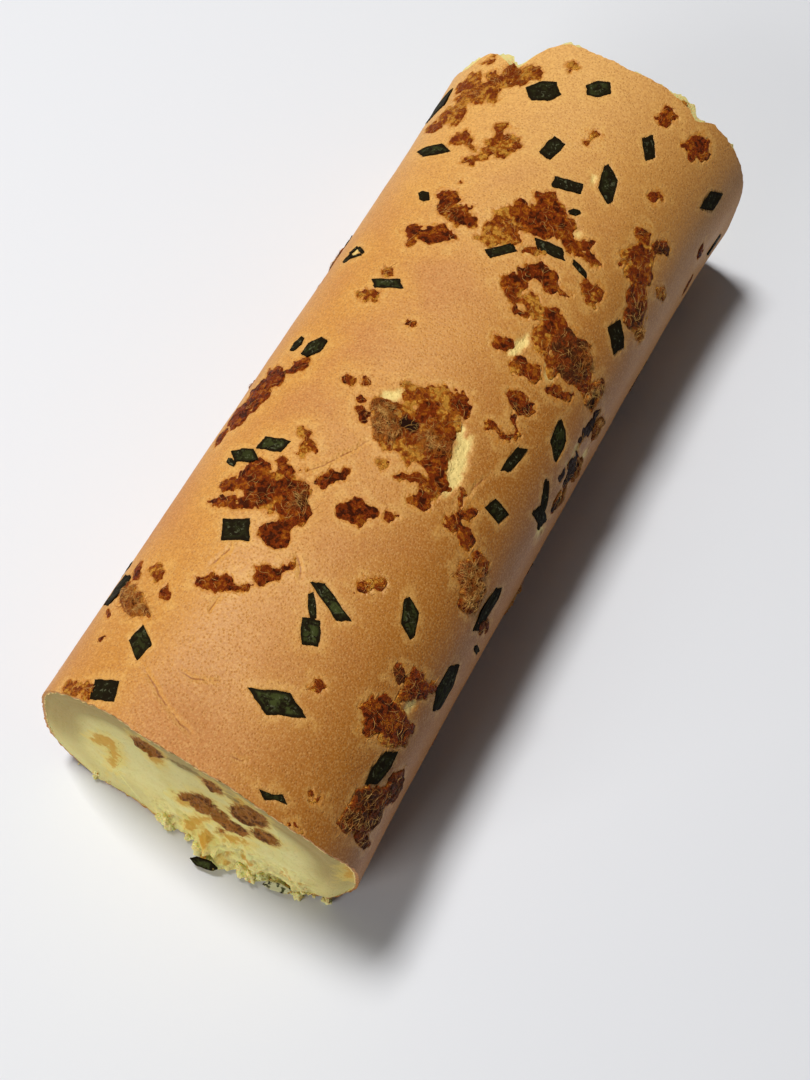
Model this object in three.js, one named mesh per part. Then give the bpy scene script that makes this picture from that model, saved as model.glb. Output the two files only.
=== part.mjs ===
// Savoury sponge roll: one thick sheet of sponge wound about one and three quarter turns
// round a filling of meat floss and cream. The front end is cut across and the back end is
// torn. X runs across the roll, Y along it and Z up. It rests on its flattened underside.
import * as THREE from 'three';

// Driving dimensions, in millimetres and degrees
const ROLL_LENGTH = 263.1;
const ROLL_WIDTH = 99.6;
const ROLL_HEIGHT = 75.5;
const POWER_ABOVE = 2.4;          // shape of the section: 2 is an ellipse, and more is squarer
const POWER_BELOW = 4.2;          // the soft roll settles, so that it is squarer below
const UNDERSIDE_SINK = 2;         // depth of the round underside that the weight flattens
const OUTLINE_POINTS = 92;        // points round the outside of the sheet
const LENGTH_STEPS = 10;

const FLARE = 2.4;                // swelling of the sides towards the ends
const FLARE_POWER = 5;            // how close to the ends the swelling stays

const FOOT_SPREAD = 4.8;          // swelling of the left foot where the knife pressed on it
const FOOT_SPREAD_POWER = 8;
const FOOT_SPREAD_FULL = 14;      // height up to which it has all its width
const FOOT_SPREAD_TOP = 52;

// How far the cut face stands behind the roll's front, at its foot and at its top. The knife
// pulled the foot forward.
const CUT_STATIONS = [
  { x: -52, foot: 3.0, top: 8.9 },
  { x: -25, foot: 1.6, top: 8.7 },
  { x: -8, foot: 0.3, top: 7.3 },
  { x: 12, foot: 0.0, top: 6.9 },
  { x: 30, foot: 0.8, top: 6.2 },
  { x: 41, foot: 3.6, top: 6.6 },
  { x: 50, foot: 9.0, top: 8.2 },
];
const CUT_CURVE = 1.7;            // how near its foot the face comes forward

const TORN_STEP = 9;              // length lost along the torn left of the back end
const TORN_FROM = -14;
const TORN_TO = -27;
const BACK_NOTCHES = [
  { x: -26.5, depth: 4.5, spread: 2.8 },
  { x: 30, depth: 3.2, spread: 3 },
  { x: -43, depth: 2, spread: 4 },
];
const BACK_WAVE = 0.8;
const BACK_WAVELENGTH = 31;

const SHEET_GAP = 0.35;           // air between the sheet and the filling on each side
const CORE_CENTRE = new THREE.Vector2(5, 33);
const SEAM_RECESS = 1.2;          // how far inside the underside the filling ends
const FILLING_STEPS = 56;

// The line of the filling, from the seam under the roll up its left side, over the top, down
// the right side, back under the core and into it: the direction from the core's centre, the
// distance from it and the thickness of the filling there.
const FILLING_LINE = [
  { angle: 235, reach: 38.8, thick: 1.0 },
  { angle: 217, reach: 35.7, thick: 1.0 },
  { angle: 203, reach: 33.6, thick: 1.2 },
  { angle: 182, reach: 30.5, thick: 4.0 },
  { angle: 163, reach: 34.0, thick: 7.0 },
  { angle: 145, reach: 31.8, thick: 1.4 },
  { angle: 123, reach: 31.4, thick: 5.6 },
  { angle: 110, reach: 31.5, thick: 3.4 },
  { angle: 97, reach: 32.7, thick: 1.2 },
  { angle: 84, reach: 31.4, thick: 1.6 },
  { angle: 60, reach: 27.8, thick: 15.0 },
  { angle: 20, reach: 20.3, thick: 7.5 },
  { angle: -15, reach: 22.8, thick: 2.4 },
  { angle: -50, reach: 24.0, thick: 1.8 },
  { angle: -90, reach: 22.0, thick: 1.8 },
  { angle: -126, reach: 18.5, thick: 2.2 },
  { angle: -158, reach: 14.0, thick: 3.2 },
  { angle: -180, reach: 7.0, thick: 7.0 },
  { angle: -299, reach: 5.1, thick: 16.0 },
];

const HALF_LENGTH = ROLL_LENGTH / 2;
const HALF_WIDTH = ROLL_WIDTH / 2;
const HALF_RISE = (ROLL_HEIGHT + UNDERSIDE_SINK) / 2;

// A point of the roll's outside, at an angle from +X towards +Z round the section's centre
function outsidePoint(angle) {
  const across = Math.cos(angle);
  const up = Math.sin(angle);
  const bend = 2 / (up > 0 ? POWER_ABOVE : POWER_BELOW);
  const x = HALF_WIDTH * Math.sign(across) * Math.abs(across) ** bend;
  const z = HALF_RISE * Math.sign(up) * Math.abs(up) ** bend + HALF_RISE - UNDERSIDE_SINK;
  return new THREE.Vector2(x, Math.max(z, 0));
}

// The middle line of the filling as evenly spaced steps, each with its place and thickness
function fillingSteps() {
  const stations = FILLING_LINE.map(({ angle, reach, thick }) => {
    const turn = THREE.MathUtils.degToRad(angle);
    const x = CORE_CENTRE.x + reach * Math.cos(turn);
    const z = CORE_CENTRE.y + reach * Math.sin(turn);
    return new THREE.Vector3(x, z, thick);
  });
  const line = new THREE.CatmullRomCurve3(stations, false, 'centripetal');
  return line.getSpacedPoints(FILLING_STEPS);
}

// The two sides of the filling's line, pushed apart by a margin, from the seam to the core
function fillingSides(steps, margin) {
  const sides = { left: [], right: [] };
  steps.forEach((step, index) => {
    const before = steps[Math.max(index - 1, 0)];
    const after = steps[Math.min(index + 1, steps.length - 1)];
    const along = new THREE.Vector2(after.x - before.x, after.y - before.y).normalize();
    const half = step.z / 2 + margin;
    sides.left.push(new THREE.Vector2(step.x - along.y * half, step.y + along.x * half));
    sides.right.push(new THREE.Vector2(step.x + along.y * half, step.y - along.x * half));
  });
  return sides;
}

// The round tip of the filling in the core, from the left side to the right one
function coreTip(steps, margin) {
  const end = steps[steps.length - 1];
  const before = steps[steps.length - 2];
  const heading = Math.atan2(end.y - before.y, end.x - before.x);
  const radius = end.z / 2 + margin;
  const tip = [];
  for (let step = 1; step < 6; step += 1) {
    const turn = heading + Math.PI / 2 - (Math.PI * step) / 6;
    tip.push(new THREE.Vector2(end.x + radius * Math.cos(turn), end.y + radius * Math.sin(turn)));
  }
  return tip;
}

function fillingOutline() {
  const steps = fillingSteps().filter((step) => step.y > SEAM_RECESS);
  const { left, right } = fillingSides(steps, 0);
  return [...left, ...coreTip(steps, 0), ...right.reverse()];
}

// The sheet's outline: in along one side of the filling, back along the other, then round
// the outside from the seam to the seam
function sheetOutline() {
  const steps = fillingSteps().filter((step) => step.y > SEAM_RECESS / 2);
  const { left, right } = fillingSides(steps, SHEET_GAP);
  const slit = [...left, ...coreTip(steps, SHEET_GAP), ...right.reverse()];
  const seamLeft = new THREE.Vector2(slit[0].x, 0);
  const seamRight = new THREE.Vector2(slit[slit.length - 1].x, 0);
  const outside = [];
  for (let point = 0; point < OUTLINE_POINTS; point += 1) {
    const angle = -Math.PI / 2 + (2 * Math.PI * point) / OUTLINE_POINTS;
    outside.push(outsidePoint(angle));
  }
  const clearance = ROLL_WIDTH / OUTLINE_POINTS / 2;
  const underLeft = outside.filter((p) => p.y === 0 && p.x < seamLeft.x - clearance);
  const underRight = outside.filter((p) => p.y === 0 && p.x > seamRight.x + clearance);
  const around = outside.filter((p) => p.y > 0);
  underLeft.sort((a, b) => a.x - b.x);
  underRight.sort((a, b) => a.x - b.x);
  return [seamRight, ...underRight, ...around, ...underLeft, seamLeft, ...slit];
}

function bump(distance, spread) {
  return Math.exp(-((distance / spread) ** 2));
}

// How far the cut face stands back at a place across the roll, at its 'foot' or its 'top'
function cutSetback(x, level) {
  let setback = CUT_STATIONS[0][level];
  CUT_STATIONS.slice(1).forEach((station, index) => {
    const before = CUT_STATIONS[index];
    const share = THREE.MathUtils.smoothstep(x, before.x, station.x);
    setback += (station[level] - before[level]) * share;
  });
  return setback;
}

// Where the cut front end stands at a place of the section
function frontEnd(x, z) {
  const nearFoot = (1 - z / ROLL_HEIGHT) ** CUT_CURVE;
  return -HALF_LENGTH + THREE.MathUtils.lerp(cutSetback(x, 'top'), cutSetback(x, 'foot'), nearFoot);
}

// Where the torn back end stands at a place of the section
function backEnd(x, z) {
  let place = HALF_LENGTH - TORN_STEP * (1 - THREE.MathUtils.smoothstep(x, TORN_TO, TORN_FROM));
  for (const notch of BACK_NOTCHES) {
    place -= notch.depth * bump(x - notch.x, notch.spread) * (z / ROLL_HEIGHT);
  }
  const ripple = Math.sin((2 * Math.PI * (x + 2 * z)) / BACK_WAVELENGTH);
  return place - BACK_WAVE * (1 + ripple);
}

// How much wider the roll is at a place, by its shares of the way from the middle to the ends
function swelling(x, z, towardsBack, towardsFront) {
  if (x > 0) {
    return FLARE * Math.max(towardsBack, towardsFront) ** FLARE_POWER;
  }
  const low = 1 - THREE.MathUtils.smoothstep(z, FOOT_SPREAD_FULL, FOOT_SPREAD_TOP);
  const spread = FOOT_SPREAD * low * towardsFront ** FOOT_SPREAD_POWER;
  return FLARE * towardsBack ** FLARE_POWER + spread;
}

// An outline drawn out along the roll, then shaped to the ends and to the swelling sides
function rolledOut(outline) {
  const shape = new THREE.Shape(outline);
  const options = { depth: 1, steps: LENGTH_STEPS, bevelEnabled: false };
  const geometry = new THREE.ExtrudeGeometry(shape, options);
  geometry.deleteAttribute('uv');
  const places = geometry.attributes.position;
  for (let index = 0; index < places.count; index += 1) {
    const x = places.getX(index);
    const z = places.getY(index);
    const alongFront = places.getZ(index);
    const y = THREE.MathUtils.lerp(backEnd(x, z), frontEnd(x, z), alongFront);
    const towardsBack = Math.max(1 - 2 * alongFront, 0);
    const towardsFront = Math.max(2 * alongFront - 1, 0);
    const wider = swelling(x, z, towardsBack, towardsFront);
    places.setXYZ(index, x * (1 + wider / HALF_WIDTH), y, z);
  }
  geometry.computeVertexNormals();
  return geometry;
}

const spongeMaterial = new THREE.MeshStandardMaterial({
  color: 0xd9a35c,
  roughness: 0.75,
  metalness: 0,
});
const fillingMaterial = new THREE.MeshStandardMaterial({
  color: 0x8f5420,
  roughness: 0.85,
  metalness: 0,
});

const sponge = new THREE.Mesh(rolledOut(sheetOutline()), spongeMaterial);
sponge.name = 'sponge_sheet';
const filling = new THREE.Mesh(rolledOut(fillingOutline()), fillingMaterial);
filling.name = 'floss_filling';

const roll = new THREE.Group();
roll.add(sponge, filling);

export default roll;
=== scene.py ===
import random
from math import atan2, cos, exp, pi, radians, sin

import bmesh
import bpy
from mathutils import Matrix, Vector, kdtree, noise


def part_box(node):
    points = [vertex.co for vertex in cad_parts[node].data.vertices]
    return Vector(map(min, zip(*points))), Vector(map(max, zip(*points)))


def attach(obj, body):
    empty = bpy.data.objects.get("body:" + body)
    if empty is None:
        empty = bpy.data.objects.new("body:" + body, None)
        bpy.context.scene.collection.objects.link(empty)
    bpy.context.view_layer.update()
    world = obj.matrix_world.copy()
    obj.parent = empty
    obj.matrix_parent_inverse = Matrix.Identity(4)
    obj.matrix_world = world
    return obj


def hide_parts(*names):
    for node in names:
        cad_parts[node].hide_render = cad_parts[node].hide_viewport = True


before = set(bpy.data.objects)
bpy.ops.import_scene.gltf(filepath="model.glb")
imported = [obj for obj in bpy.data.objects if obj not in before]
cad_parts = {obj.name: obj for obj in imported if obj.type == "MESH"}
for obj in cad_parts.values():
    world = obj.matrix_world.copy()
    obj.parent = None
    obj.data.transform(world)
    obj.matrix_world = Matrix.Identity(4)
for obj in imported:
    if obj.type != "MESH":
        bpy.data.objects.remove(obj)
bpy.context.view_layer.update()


# ---- Where it is seen from ----------------------------------------------------------------
# The view looks steeply down on the roll, from beyond the right of its cut end. It comes
# first, because floss and herb flakes are laid where the rays of its pixels meet the roll.
PICTURE_WIDTH, PICTURE_HEIGHT = 810, 1080
SENSOR, LENS = 36, 50
PIXELS_AWAY = PICTURE_HEIGHT * LENS / SENSOR     # distance of the picture plane, in pixels
CAMERA_PLACE = Vector((0.0891, -0.18445, 0.4513))
CAMERA_TURN = radians(25.73)
CAMERA_FALL = radians(67.41)
CAMERA_ROLL = radians(-3.44)

view_ahead = Vector((
    -sin(CAMERA_TURN) * cos(CAMERA_FALL), cos(CAMERA_TURN) * cos(CAMERA_FALL), -sin(CAMERA_FALL)
))
level_right = view_ahead.cross(Vector((0, 0, 1))).normalized()
level_down = view_ahead.cross(level_right)
view_right = level_right * cos(CAMERA_ROLL) + level_down * sin(CAMERA_ROLL)
view_down = level_down * cos(CAMERA_ROLL) - level_right * sin(CAMERA_ROLL)

camera_data = bpy.data.cameras.new("camera")
camera_data.sensor_fit = "VERTICAL"
camera_data.sensor_height = SENSOR
camera_data.lens = LENS
camera_data.clip_start = 0.01
camera = bpy.data.objects.new("camera", camera_data)
for column, axis in enumerate((view_right, -view_down, -view_ahead, CAMERA_PLACE)):
    for row in range(3):
        camera.matrix_world[row][column] = axis[row]
bpy.context.scene.collection.objects.link(camera)
bpy.context.scene.camera = camera


# How far from the camera a ray is followed, from and to, and its least step
RAY_START, RAY_END, RAY_STEP = 0.30, 0.62, 0.00004


def pixel_ray(x, y):
    across = view_right * (x - PICTURE_WIDTH / 2)
    down = view_down * (y - PICTURE_HEIGHT / 2)
    return (across + down + view_ahead * PIXELS_AWAY).normalized()


# ---- The sheet of sponge ------------------------------------------------------------------
# The sheet is a thick chiffon sponge, wound so that it meets itself in a seam underneath.
# It has settled under its own weight, flat and square below, and the knife spread its foot.
SPONGE_LOW, SPONGE_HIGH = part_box("sponge_sheet")
HALF_LENGTH = (SPONGE_HIGH.y - SPONGE_LOW.y) / 2
FLARE, FLARE_POWER = 0.0024, 5
FOOT_SPREAD, FOOT_SPREAD_POWER = 0.0048, 8
FOOT_SPREAD_FULL, FOOT_SPREAD_TOP = 0.014, 0.052
HALF_WIDTH = SPONGE_HIGH.x - FLARE
UNDERSIDE_SINK = 0.002
HALF_RISE = (SPONGE_HIGH.z + UNDERSIDE_SINK) / 2
MIDDLE_HEIGHT = HALF_RISE - UNDERSIDE_SINK
POWER_ABOVE, POWER_BELOW = 2.4, 4.2
# How far the cut face stands behind the front: the place across, at its foot and at its top
CUT_STATIONS = (
    (-0.052, 0.0030, 0.0089), (-0.025, 0.0016, 0.0087), (-0.008, 0.0003, 0.0073),
    (0.012, 0.0, 0.0069), (0.030, 0.0008, 0.0062), (0.041, 0.0036, 0.0066), (0.050, 0.0090, 0.0082),
)
CUT_CURVE = 1.7
TORN_STEP, TORN_FROM, TORN_TO = 0.009, -0.014, -0.027
BACK_NOTCHES = ((-0.0265, 0.0045, 0.0028), (0.030, 0.0032, 0.003), (-0.043, 0.002, 0.004))
CORE_X, CORE_Z = 0.005, 0.033
SKIN_THICKNESS = 0.0012
SKIN_GRIP = 0.0003        # how far the crumb reaches into the skin
SHEET_GAP = 0.00003
CRUMB_CELL = 0.00052
# Places of the rings between the two ends, closest where the ends swell and tear
RINGS = (0, 0.003, 0.012, 0.08, 0.22, 0.45, 0.7, 0.86, 0.945, 0.975, 0.987, 0.995, 1)

# The filling's line from the seam to the core: its direction from the core's centre, its
# distance from it and its thickness, in degrees and millimetres
FILLING_LINE = (
    (235, 38.8, 1.0), (217, 35.7, 1.0), (203, 33.6, 1.2), (182, 30.5, 4.0), (163, 34.0, 7.0),
    (145, 31.8, 1.4), (123, 31.4, 5.6), (110, 31.5, 3.4), (97, 32.7, 1.2), (84, 31.4, 1.6),
    (60, 27.8, 15.0), (20, 20.3, 7.5), (-15, 22.8, 2.4), (-50, 24.0, 1.8), (-90, 22.0, 1.8),
    (-126, 18.5, 2.2), (-158, 14.0, 3.2), (-180, 7.0, 7.0), (-299, 5.1, 16.0),
)
STEPS_PER_STATION = 24


def fade(value, start, end):
    """0 at start and before it, 1 at end and past it, smooth between."""
    share = min(max((value - start) / (end - start), 0.0), 1.0)
    return share * share * (3 - 2 * share)


def bump(distance, spread):
    return exp(-((distance / spread) ** 2))


def section_reach(angle):
    """Distance of the outside from the section's middle, in that direction."""
    power = POWER_ABOVE if sin(angle) > 0 else POWER_BELOW
    across = (abs(cos(angle)) / HALF_WIDTH) ** power
    up = (abs(sin(angle)) / HALF_RISE) ** power
    return (across + up) ** (-1 / power)


def outside_gap(x, z):
    """How far a place of the section is outside the roll, negative within it."""
    reach = Vector((x, z - MIDDLE_HEIGHT)).length
    beyond = reach - section_reach(atan2(z - MIDDLE_HEIGHT, x))
    return max(beyond, -z)


def cut_setback(x, level):
    """How far the cut face stands back there, at its foot for level 1, at its top for 2."""
    setback = CUT_STATIONS[0][level]
    for before, station in zip(CUT_STATIONS, CUT_STATIONS[1:]):
        if x > before[0]:
            setback += (station[level] - before[level]) * fade(x, before[0], station[0])
    return setback


def front_end(x, z):
    near_foot = max(1 - z / SPONGE_HIGH.z, 0.0) ** CUT_CURVE
    top = cut_setback(x, 2)
    return -HALF_LENGTH + top + (cut_setback(x, 1) - top) * near_foot


def back_end(x, z):
    place = HALF_LENGTH - TORN_STEP * (1 - fade(x, TORN_TO, TORN_FROM))
    for middle, depth, spread in BACK_NOTCHES:
        place -= depth * bump(x - middle, spread) * z / SPONGE_HIGH.z
    return place


def flared(x, y, z):
    """The sides swell towards the ends, and the left foot spreads at the cut."""
    back, front = max(y / HALF_LENGTH, 0.0), max(-y / HALF_LENGTH, 0.0)
    if x > 0:
        wider = FLARE * max(back, front) ** FLARE_POWER
    else:
        low = 1 - fade(z, FOOT_SPREAD_FULL, FOOT_SPREAD_TOP)
        wider = FLARE * back**FLARE_POWER + FOOT_SPREAD * low * front**FOOT_SPREAD_POWER
    return x * (1 + wider / HALF_WIDTH)


def unflared(point):
    """The place in the section, before the sides swell."""
    return point.x * point.x / flared(*point) if point.x else 0.0


def filling_steps():
    stations = [
        Vector((
            CORE_X + reach / 1000 * cos(radians(angle)),
            CORE_Z + reach / 1000 * sin(radians(angle)),
            thick / 2000,
        ))
        for angle, reach, thick in FILLING_LINE
    ]
    steps = []
    for index in range(len(stations) - 1):
        before = stations[max(index - 1, 0)]
        start, end = stations[index], stations[index + 1]
        after = stations[min(index + 2, len(stations) - 1)]
        for step in range(STEPS_PER_STATION):
            t = step / STEPS_PER_STATION
            pull_start, pull_end = (end - before) / 2, (after - start) / 2
            steps.append(
                start * (2 * t**3 - 3 * t**2 + 1)
                + pull_start * (t**3 - 2 * t**2 + t)
                + end * (3 * t**2 - 2 * t**3)
                + pull_end * (t**3 - t**2)
            )
    return steps + [stations[-1]]


def tree_of(points):
    """The points in a tree that finds the ones nearest to a place."""
    tree = kdtree.KDTree(len(points))
    for index, point in enumerate(points):
        tree.insert(point, index)
    tree.balance()
    return tree


filling_line = filling_steps()
filling_tree = tree_of([Vector((step.x, step.y, 0)) for step in filling_line])


def filling_gap(x, z):
    """How far a place of the section is outside the filling, negative within it."""
    _, index, distance = filling_tree.find(Vector((x, z, 0)))
    return distance - filling_line[index].z


def filling_half(x, z):
    """Half the thickness of the filling that is nearest to a place of the section."""
    _, index, _ = filling_tree.find(Vector((x, z, 0)))
    return filling_line[index].z


class Oval:
    """An oval patch of the roll's outside: its centre and its two half axes."""

    def __init__(self, centre, long_axis, wide_axis):
        normal = long_axis.cross(wide_axis)
        self.centre, self.long_axis, self.wide_axis = centre, long_axis, wide_axis
        self.long_row = wide_axis.cross(normal) / normal.length_squared
        self.wide_row = normal.cross(long_axis) / normal.length_squared
        self.half_length, self.half_width = long_axis.length, wide_axis.length

    def distance(self, point):
        """Distance from a point to the oval's edge, negative within it."""
        off = point - self.centre
        along, across = off.dot(self.long_row), off.dot(self.wide_row)
        reach = (along * along + across * across) ** 0.5
        if reach < 0.05:
            return -min(self.half_length, self.half_width)
        slope = (self.long_row * along + self.wide_row * across).length / reach
        return (reach - 1) / slope


# What shows in the cut face, by ovals in pixels of the view: the centre, the half length, the
# half width, and the turn from the picture's right towards its foot, in degrees, if any
FACE_MEAT = (
    (147, 748, 18, 4, 32), (212, 786, 12, 3.6, 37), (188, 797, 9, 3.6, 8), (202, 804, 14, 8.5, 28),
    (220, 817, 11, 6, 38), (249, 816, 20, 8.5, 25), (233, 827, 16, 5, 28), (265, 837, 14.5, 5, 28),
    (220.5, 831, 2.4, 2),
)
FACE_LINES = (
    (184, 768, 24, 1.5, 28.5), (231, 798, 11, 1.7, 32), (190, 771, 19, 1.6, 30),
)
FACE_STAINS = (
    (103, 741, 11, 5.5, 12), (113, 750, 10, 5, 65), (113, 762, 7, 2.4, 85), (187, 801, 12, 5, 20),
    (193, 823, 8, 5.5, 10), (204, 819, 6, 3, 10), (206, 834, 7, 4, 20), (234, 839, 10, 3.5, 20),
    (243, 842, 5, 3, 20), (214, 851, 8, 4, 30), (222, 866, 5, 3, 15), (240, 806, 9, 5, 40),
    (154, 759, 9, 3, 32), (163, 826, 5, 2), (350, 873, 5, 6),
)


def meet_face(x, y):
    """The place of the section where the ray of a pixel meets the cut face."""
    ray, reach, ahead = pixel_ray(x, y), RAY_START, 1.0
    while reach < RAY_END and ahead > RAY_STEP / 2:
        spot = CAMERA_PLACE + ray * reach
        across = unflared(spot)
        ahead = front_end(across, spot.z) - spot.y
        reach += max(ahead, RAY_STEP)
    return Vector((across, 0, spot.z))


def face_oval(x, y, half_length, half_width, turn=0):
    centre, heading = meet_face(x, y), radians(turn)
    along = meet_face(x + half_length * cos(heading), y + half_length * sin(heading))
    aside = meet_face(x - half_width * sin(heading), y + half_width * cos(heading))
    return Oval(centre, along - centre, aside - centre)


face_meat = [face_oval(*oval) for oval in FACE_MEAT]
face_stains = [face_oval(*oval) for oval in FACE_STAINS]
face_lines = [face_oval(*oval) for oval in FACE_LINES]


def face_gap(ovals, x, z):
    """How far a place of the section is outside some ovals of the cut face."""
    return min(oval.distance(Vector((x, 0, z))) for oval in ovals)


def turn_outwards(bm):
    """Turns a closed shell right side out, once its faces agree."""
    if bm.calc_volume(signed=True) < 0:
        bmesh.ops.reverse_faces(bm, faces=bm.faces)


def corners_that_touch(bm):
    """A face at each place where two regions of a flat grid meet in one corner only."""
    return list(dict.fromkeys(
        face for vert in bm.verts
        if vert.is_boundary and sum(edge.is_boundary for edge in vert.link_edges) > 2
        for face in vert.link_faces[:1]
    ))


def made_piece(name, bm):
    """The finished mesh as an object in the scene."""
    mesh = bpy.data.meshes.new(name)
    bm.to_mesh(mesh)
    bm.free()
    piece = bpy.data.objects.new(name, mesh)
    bpy.context.scene.collection.objects.link(piece)
    return piece


def rolled_body(name, gap, cell, end_relief, marks):
    """A body that runs through the roll: the section where gap is negative, cut from a grid
    of cells, drawn out to both ends and roughened there by end_relief. Each of the marks is
    a value at every place of the section and step along it, which the material reads by its
    name."""
    bm = bmesh.new()
    layers = {mark: bm.verts.layers.float.new(mark) for mark in marks}
    width, height = HALF_WIDTH * 2, SPONGE_HIGH.z
    columns, rows = round(width / cell), round(height / cell)
    bmesh.ops.create_grid(bm, x_segments=columns, y_segments=rows, size=0.5)
    for vert in bm.verts:
        vert.co = Vector((vert.co.x * width, (vert.co.y + 0.5) * height, 0))
    outside = [
        face for face in bm.faces if gap(*face.calc_center_median().xy) > 0
    ]
    bmesh.ops.delete(bm, geom=outside, context="FACES")
    bmesh.ops.delete(bm, geom=corners_that_touch(bm), context="FACES")
    for vert in bm.verts:
        if not vert.is_boundary:
            continue
        x, z = vert.co.xy
        slope = Vector((
            gap(x + cell / 4, z) - gap(x - cell / 4, z),
            gap(x, z + cell / 4) - gap(x, z - cell / 4),
            0,
        )) / (cell / 2)
        if slope.length > 0.3:
            vert.co -= slope.normalized() * max(-cell, min(cell, gap(x, z) / slope.length))
    front = bm.faces[:]
    drawn = bmesh.ops.extrude_face_region(bm, geom=front)["geom"]
    back_verts = {item for item in drawn if isinstance(item, bmesh.types.BMVert)}
    for vert in back_verts:
        vert.co.z = 1
    sides = [
        edge for edge in bm.edges if (edge.verts[0] in back_verts) != (edge.verts[1] in back_verts)
    ]
    bmesh.ops.subdivide_edges(bm, edges=sides, cuts=len(RINGS) - 2, use_grid_fill=True)
    for vert in bm.verts:
        x, z, step = vert.co
        along = RINGS[round(step * (len(RINGS) - 1))]
        y = front_end(x, z) * (1 - along) + back_end(x, z) * along
        if along in (0, 1):
            y += end_relief(x, z, along)
        for mark, layer in layers.items():
            vert[layer] = marks[mark](x, z, along)
        vert.co = Vector((flared(x, y, z), y, z))
    bmesh.ops.recalc_face_normals(bm, faces=bm.faces)
    turn_outwards(bm)
    return made_piece(name, bm)


def sheet_gap(x, z):
    outer = outside_gap(x, z) + SKIN_THICKNESS - SKIN_GRIP
    return max(outer, SHEET_GAP - filling_gap(x, z))


def rough(spot, waves):
    """Uneven height at a spot. Each wave is its height and how many of it go to a metre."""
    return sum(height * noise.noise(spot * pitch) for height, pitch in waves)


def pitted(spot, size, depth):
    """The bubbles that a cut opens: round hollows of about that size."""
    distance = noise.voronoi(spot / size)[0][0]
    return -depth * (1 - fade(distance, 0.1, 0.75))


# How the crumb lies: torn at the back end, torn by the knife at the foot, and cut cleanly
TORN_WAVES = ((0.0012, 190), (0.0008, 430), (0.0022, 90))
FOOT_WAVES = ((0.0012, 160), (0.0008, 360), (0.0004, 800))
CUT_WAVES = ((0.00022, 110),)
TORN_BUBBLES, FOOT_BUBBLES, CUT_BUBBLES = (0.0024, 0.0010), (0.0030, 0.0008), (0.0019, 0.00012)
TORN_SHREDS = 0.0010
# Lumps that the knife dragged out at the foot of the cut: place, reach and half width
FOOT_BULGES = (
    (-0.0490, 0.0012, 0.0030), (-0.0340, 0.0006, 0.0040), (-0.0085, 0.0010, 0.0030),
    (-0.0030, 0.0010, 0.0030), (0.0040, 0.0050, 0.0030), (0.0085, 0.0058, 0.0030),
    (0.0135, 0.0030, 0.0032), (0.0195, 0.0034, 0.0030), (0.0320, 0.0006, 0.0030),
    (0.0400, 0.0008, 0.0024),
)
FOOT_RISE = 0.017
# Where the torn foot sets in and ends across the roll, and how far up it reaches
TORN_LEFT, TORN_RIGHT, TORN_TOP = (-0.020, -0.008), (0.031, 0.041), (0.010, 0.027)
FOOT_EDGE, FOOT_EDGE_TORN = 0.006, 0.35     # all along the foot it is a little torn
HEAPED = (0.0010, 0.0022)                   # half thickness from which the filling is a heap
FILLING_DIP = 0.0003                        # the torn crumb sinks beside a heap
MEAT_EDGE = (-0.0004, 0.0008)


def torn_foot(x, z):
    """1 where the knife tore the crumb at the foot of the cut, 0 where it cut cleanly."""
    across = fade(x, *TORN_LEFT) * (1 - fade(x, *TORN_RIGHT))
    return across * (1 - fade(z, *TORN_TOP))


def foot_reach(x, z):
    """How far the crumb stands out at a place near the foot of the cut."""
    spread = sum(reach * bump(x - middle, half) for middle, reach, half in FOOT_BULGES)
    uneven = 0.8 + rough(Vector((x, 0, z)), ((0.6, 190), (0.3, 420)))
    return spread * (1 - fade(z, 0.0, FOOT_RISE)) * max(uneven, 0.1)


def end_face(x, z, along):
    """How far the torn back end, or the cut front end, stands out: the knife left it flat with
    small bubbles open, and lumpy where it tore the foot."""
    spot = Vector((x, along, z))
    if along == 1:
        shreds = TORN_SHREDS * max(noise.noise(spot * 900), 0)
        return rough(spot, TORN_WAVES) + pitted(spot, *TORN_BUBBLES) + shreds
    torn = max(torn_foot(x, z), FOOT_EDGE_TORN * (1 - fade(z, 0.0, FOOT_EDGE)))
    lumps = rough(spot, FOOT_WAVES) + pitted(spot, *FOOT_BUBBLES)
    smooth = rough(spot, CUT_WAVES) + pitted(spot, *CUT_BUBBLES)
    return smooth * (1 - torn) + lumps * torn + foot_reach(x, z)


def heaped(x, z):
    """1 beside and in the heaps of the filling, 0 where it is only a smear."""
    return fade(filling_half(x, z), *HEAPED)


def meat_tufts(x, z, along):
    """How far the fibres of meat stand out of a heap that is cut or torn across."""
    strands = 1 - 2 * abs(noise.noise(Vector((x * 900, along, z * 500))))
    return 0.0004 * strands + rough(Vector((x, along * 3, z)), ((0.0010, 260), (0.0004, 800)))


def cut_relief(x, z):
    """The cut face, with the tufts of its meat."""
    meaty = fade(-face_gap(face_meat, x, z), *MEAT_EDGE)
    return -end_face(x, z, 0) - meaty * meat_tufts(x, z, 0)


def crumb_relief(x, z, along):
    if along == 0:
        return cut_relief(x, z)
    beside = heaped(x, z) * (1 - fade(filling_gap(x, z), 0, 0.001))
    return end_face(x, z, along) - FILLING_DIP * beside


def meat_beside(x, z, along):
    """Distance to the meat that shows in an end: to its ovals in the cut face, or to the
    heaps of the filling in the torn end."""
    if along < 0.5:
        return face_gap(face_meat, x, z)
    return filling_gap(x, z) + 0.002 * (1 - heaped(x, z))


def stain_beside(x, z, along):
    """Distance to what the fat of the filling has stained, in the same way."""
    if along < 0.5:
        return face_gap(face_stains, x, z)
    return filling_gap(x, z) + 0.0006 + 0.004 * (1 - heaped(x, z))


def line_beside(x, z, along):
    """Distance to the thin lines where two turns meet."""
    return face_gap(face_lines, x, z) if along < 0.5 else filling_gap(x, z)


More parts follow.
